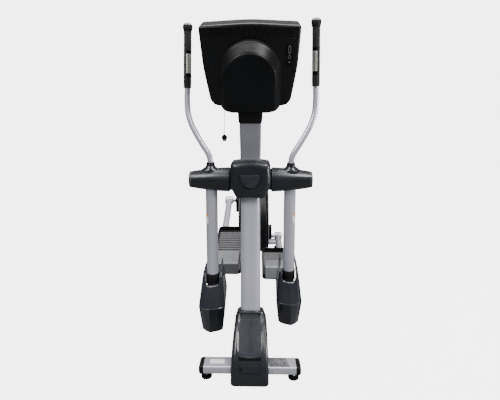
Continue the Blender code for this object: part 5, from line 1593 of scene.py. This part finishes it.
        serial_up, jack_up, round_up = 0.026, -0.010, -0.035
        metal = collar(rounded_rect(0.012, 0.032, 0.0045, 5), rounded_rect(0.009, 0.029, 0.0038, 5), serial_up,
                       0.0014)
        for lane in (-1, 1):
            turned(((front - 0.0012, 0.0), (front - 0.0012, 0.0022), (front, 0.0022), (front, 0.0)), "Y", 12,
                   (x, 0.0, z + serial_up + lane * 0.0205), metal)
        rim = [(front, 0.0042), (front - 0.0013, 0.0038), (front - 0.0013, 0.0024), (front, 0.0024)]
        turned(rim, "Y", 24, (x, 0.0, z + round_up), metal)
        piece("socket_metal", metal, "zinc", "frame", (), place)
        jack = collar(rounded_rect(0.013, 0.014, 0.001, 3), rounded_rect(0.0105, 0.0115, 0.001, 3), jack_up, 0.0012)
        piece("socket_jack", jack, "silver_plastic", "frame", (), place)

    def face(self, place, slope):
        """Display pane, keypad film and the film's touch marks, all on the leaning face."""

        def pane(outline, up, across=0.0):
            """Outline on the face at a height and a depth from the console's back."""
            shape, depth = outline
            return [(a, depth + slope * b, b) for a, b in shifted(shape, across, up)]

        radius = 0.011
        for node, name, finish_name in (("display_window", "display_glass_pane", "display_glass"),
                                        ("keypad_panel", "keypad_film_pane", "keypad_film")):
            low, high = local_box(node, place)
            rows = []
            for depth, inset in ((0.1115, 0.0), (0.1140, 0.0), (0.1145, 0.0006)):
                shape = rounded_rect(high.x - low.x - 2 * inset, high.z - low.z - 2 * inset, radius, 6)
                rows.append(pane((shape, depth), centre_of(low, high).z))
            piece(name, loft(rows), finish_name, "frame", (node,), place)
        middle = centre_of(*local_box("keypad_panel", place)).z
        mark = rounded_rect(0.040, 0.014, 0.004, 4)
        marks = bmesh.new()
        for x in (-0.125, 0.125):
            for lane in range(4):
                loft([pane((mark, depth), middle + 0.036 - 0.024 * lane, x) for depth in (0.1140, 0.11485)], marks)
        piece("keypad_touch_marks", marks, "grey_paint", "frame", (), place)

    def keys(self, place):
        for node in ("start_key", "level_down_key", "level_up_key"):
            low, high = local_box(node, place)
            x, _, z = centre_of(low, high)
            radius = (high.x - low.x) / 2
            top, foot = high.y, low.y
            profile = ((foot, 0.0), (foot, radius - 0.0006), (foot + 0.0006, radius), (top - 0.0014, radius),
                       (top - 0.0005, radius - 0.0006), (top, radius - 0.0022), (top - 0.0005, radius * 0.55),
                       (top - 0.0007, 0.0))
            piece(node + "_cap", turned(profile, "Y", 48, (x, 0.0, z)), "key_plastic", node, (node,), place)


class TRAINER_OT_studio(TrainerOperator):
    """Set the pale floor and the soft studio lights"""
    bl_idname = "trainer.set_studio"
    bl_label = "Studio"

    def build(self, sizes):
        tint = bpy.context.scene.trainer_colours
        material = bpy.data.materials.new("studio_floor")
        material.use_nodes = True
        g = Graph(material.node_tree)
        shader = material.node_tree.nodes["Principled BSDF"]
        where = g.add("ShaderNodeTexCoord").outputs["Object"]
        cloud = g.add("ShaderNodeTexNoise", Vector=where, Scale=3.0, Detail=4.0)
        base = tuple(tint.floor)
        tone = g.mix(cloud.outputs[0], (*base, 1.0), (*[c * 0.985 for c in base], 1.0))
        g.link(tone, shader.inputs["Base Color"])
        shader.inputs["Roughness"].default_value = 0.85
        shader.inputs["Emission Color"].default_value = (0.97, 0.98, 1.0, 1.0)
        seen = g.add("ShaderNodeLightPath").outputs["Is Camera Ray"]
        g.link(g.math("MULTIPLY", seen, 5.0), shader.inputs["Emission Strength"])
        reach = 40.0
        ground = grid([[(reach * (i / 4 - 1), reach * (k / 4 - 1), 0.0) for i in range(9)] for k in range(9)])
        bmesh.ops.recalc_face_normals(ground, faces=ground.faces)
        mesh = bpy.data.meshes.new("studio_floor")
        ground.to_mesh(mesh)
        ground.free()
        mesh.materials.append(material)
        floor = bpy.data.objects.new("studio_floor", mesh)
        bpy.context.scene.collection.objects.link(floor)
        middle = (cad_low + cad_high) / 2
        for name, at, size, power in (("key_light", (2.2, -2.6, 4.6), 1.8, 260.0),
                                      ("fill_light", (-2.2, -3.0, 4.0), 1.8, 170.0),
                                      ("edge_light", (3.6, -1.2, 1.2), 0.9, 80.0),
                                      ("top_light", (0.0, -0.4, 5.2), 2.6, 220.0)):
            data = bpy.data.lights.new(name, "AREA")
            data.size = size
            data.energy = power
            light = bpy.data.objects.new(name, data)
            light.matrix_world = facing(at, Vector(at) - middle)
            bpy.context.scene.collection.objects.link(light)
        world = bpy.data.worlds.new("studio_air")
        world.use_nodes = True
        g = Graph(world.node_tree)
        air = world.node_tree.nodes["Background"]
        air.inputs["Color"].default_value = (0.93, 0.95, 1.0, 1.0)
        seen = g.add("ShaderNodeLightPath").outputs["Is Camera Ray"]
        g.link(g.ramp(seen, 0.0, 1.0, 0.26, 5.2), air.inputs["Strength"])
        bpy.context.scene.world = world


# ---------------------------------------------------------------- panel and registration
STEPS = (TRAINER_OT_camera, TRAINER_OT_finishes, TRAINER_OT_dock_cord, TRAINER_OT_studio, TRAINER_OT_base,
         TRAINER_OT_post, TRAINER_OT_cross_bar, TRAINER_OT_swing_arms, TRAINER_OT_pedals, TRAINER_OT_cranks,
         TRAINER_OT_housing, TRAINER_OT_drive, TRAINER_OT_console)


class TRAINER_PT_build(bpy.types.Panel):
    """Lists the building steps in order"""
    bl_idname = "TRAINER_PT_build"
    bl_label = "Elliptical trainer"
    bl_space_type = "VIEW_3D"
    bl_region_type = "UI"
    bl_category = "Trainer"

    def draw(self, context):
        for step in STEPS:
            self.layout.operator(step.bl_idname)
        for group in (context.scene.trainer_sizes, context.scene.trainer_colours, context.scene.trainer_view):
            for name in group.__annotations__:
                self.layout.prop(group, name)


GROUPS = (("trainer_sizes", TrainerSizes), ("trainer_colours", TrainerColours), ("trainer_view", TrainerView))


def register():
    for name, group in GROUPS:
        bpy.utils.register_class(group)
        setattr(bpy.types.Scene, name, PointerProperty(type=group))
    for step in (*STEPS, TRAINER_PT_build):
        bpy.utils.register_class(step)


def unregister():
    for step in reversed((*STEPS, TRAINER_PT_build)):
        bpy.utils.unregister_class(step)
    for name, group in reversed(GROUPS):
        delattr(bpy.types.Scene, name)
        bpy.utils.unregister_class(group)


def main():
    register()
    for step in STEPS:
        group, call = step.bl_idname.split(".")
        getattr(getattr(bpy.ops, group), call)()


if __name__ == "__main__":
    main()
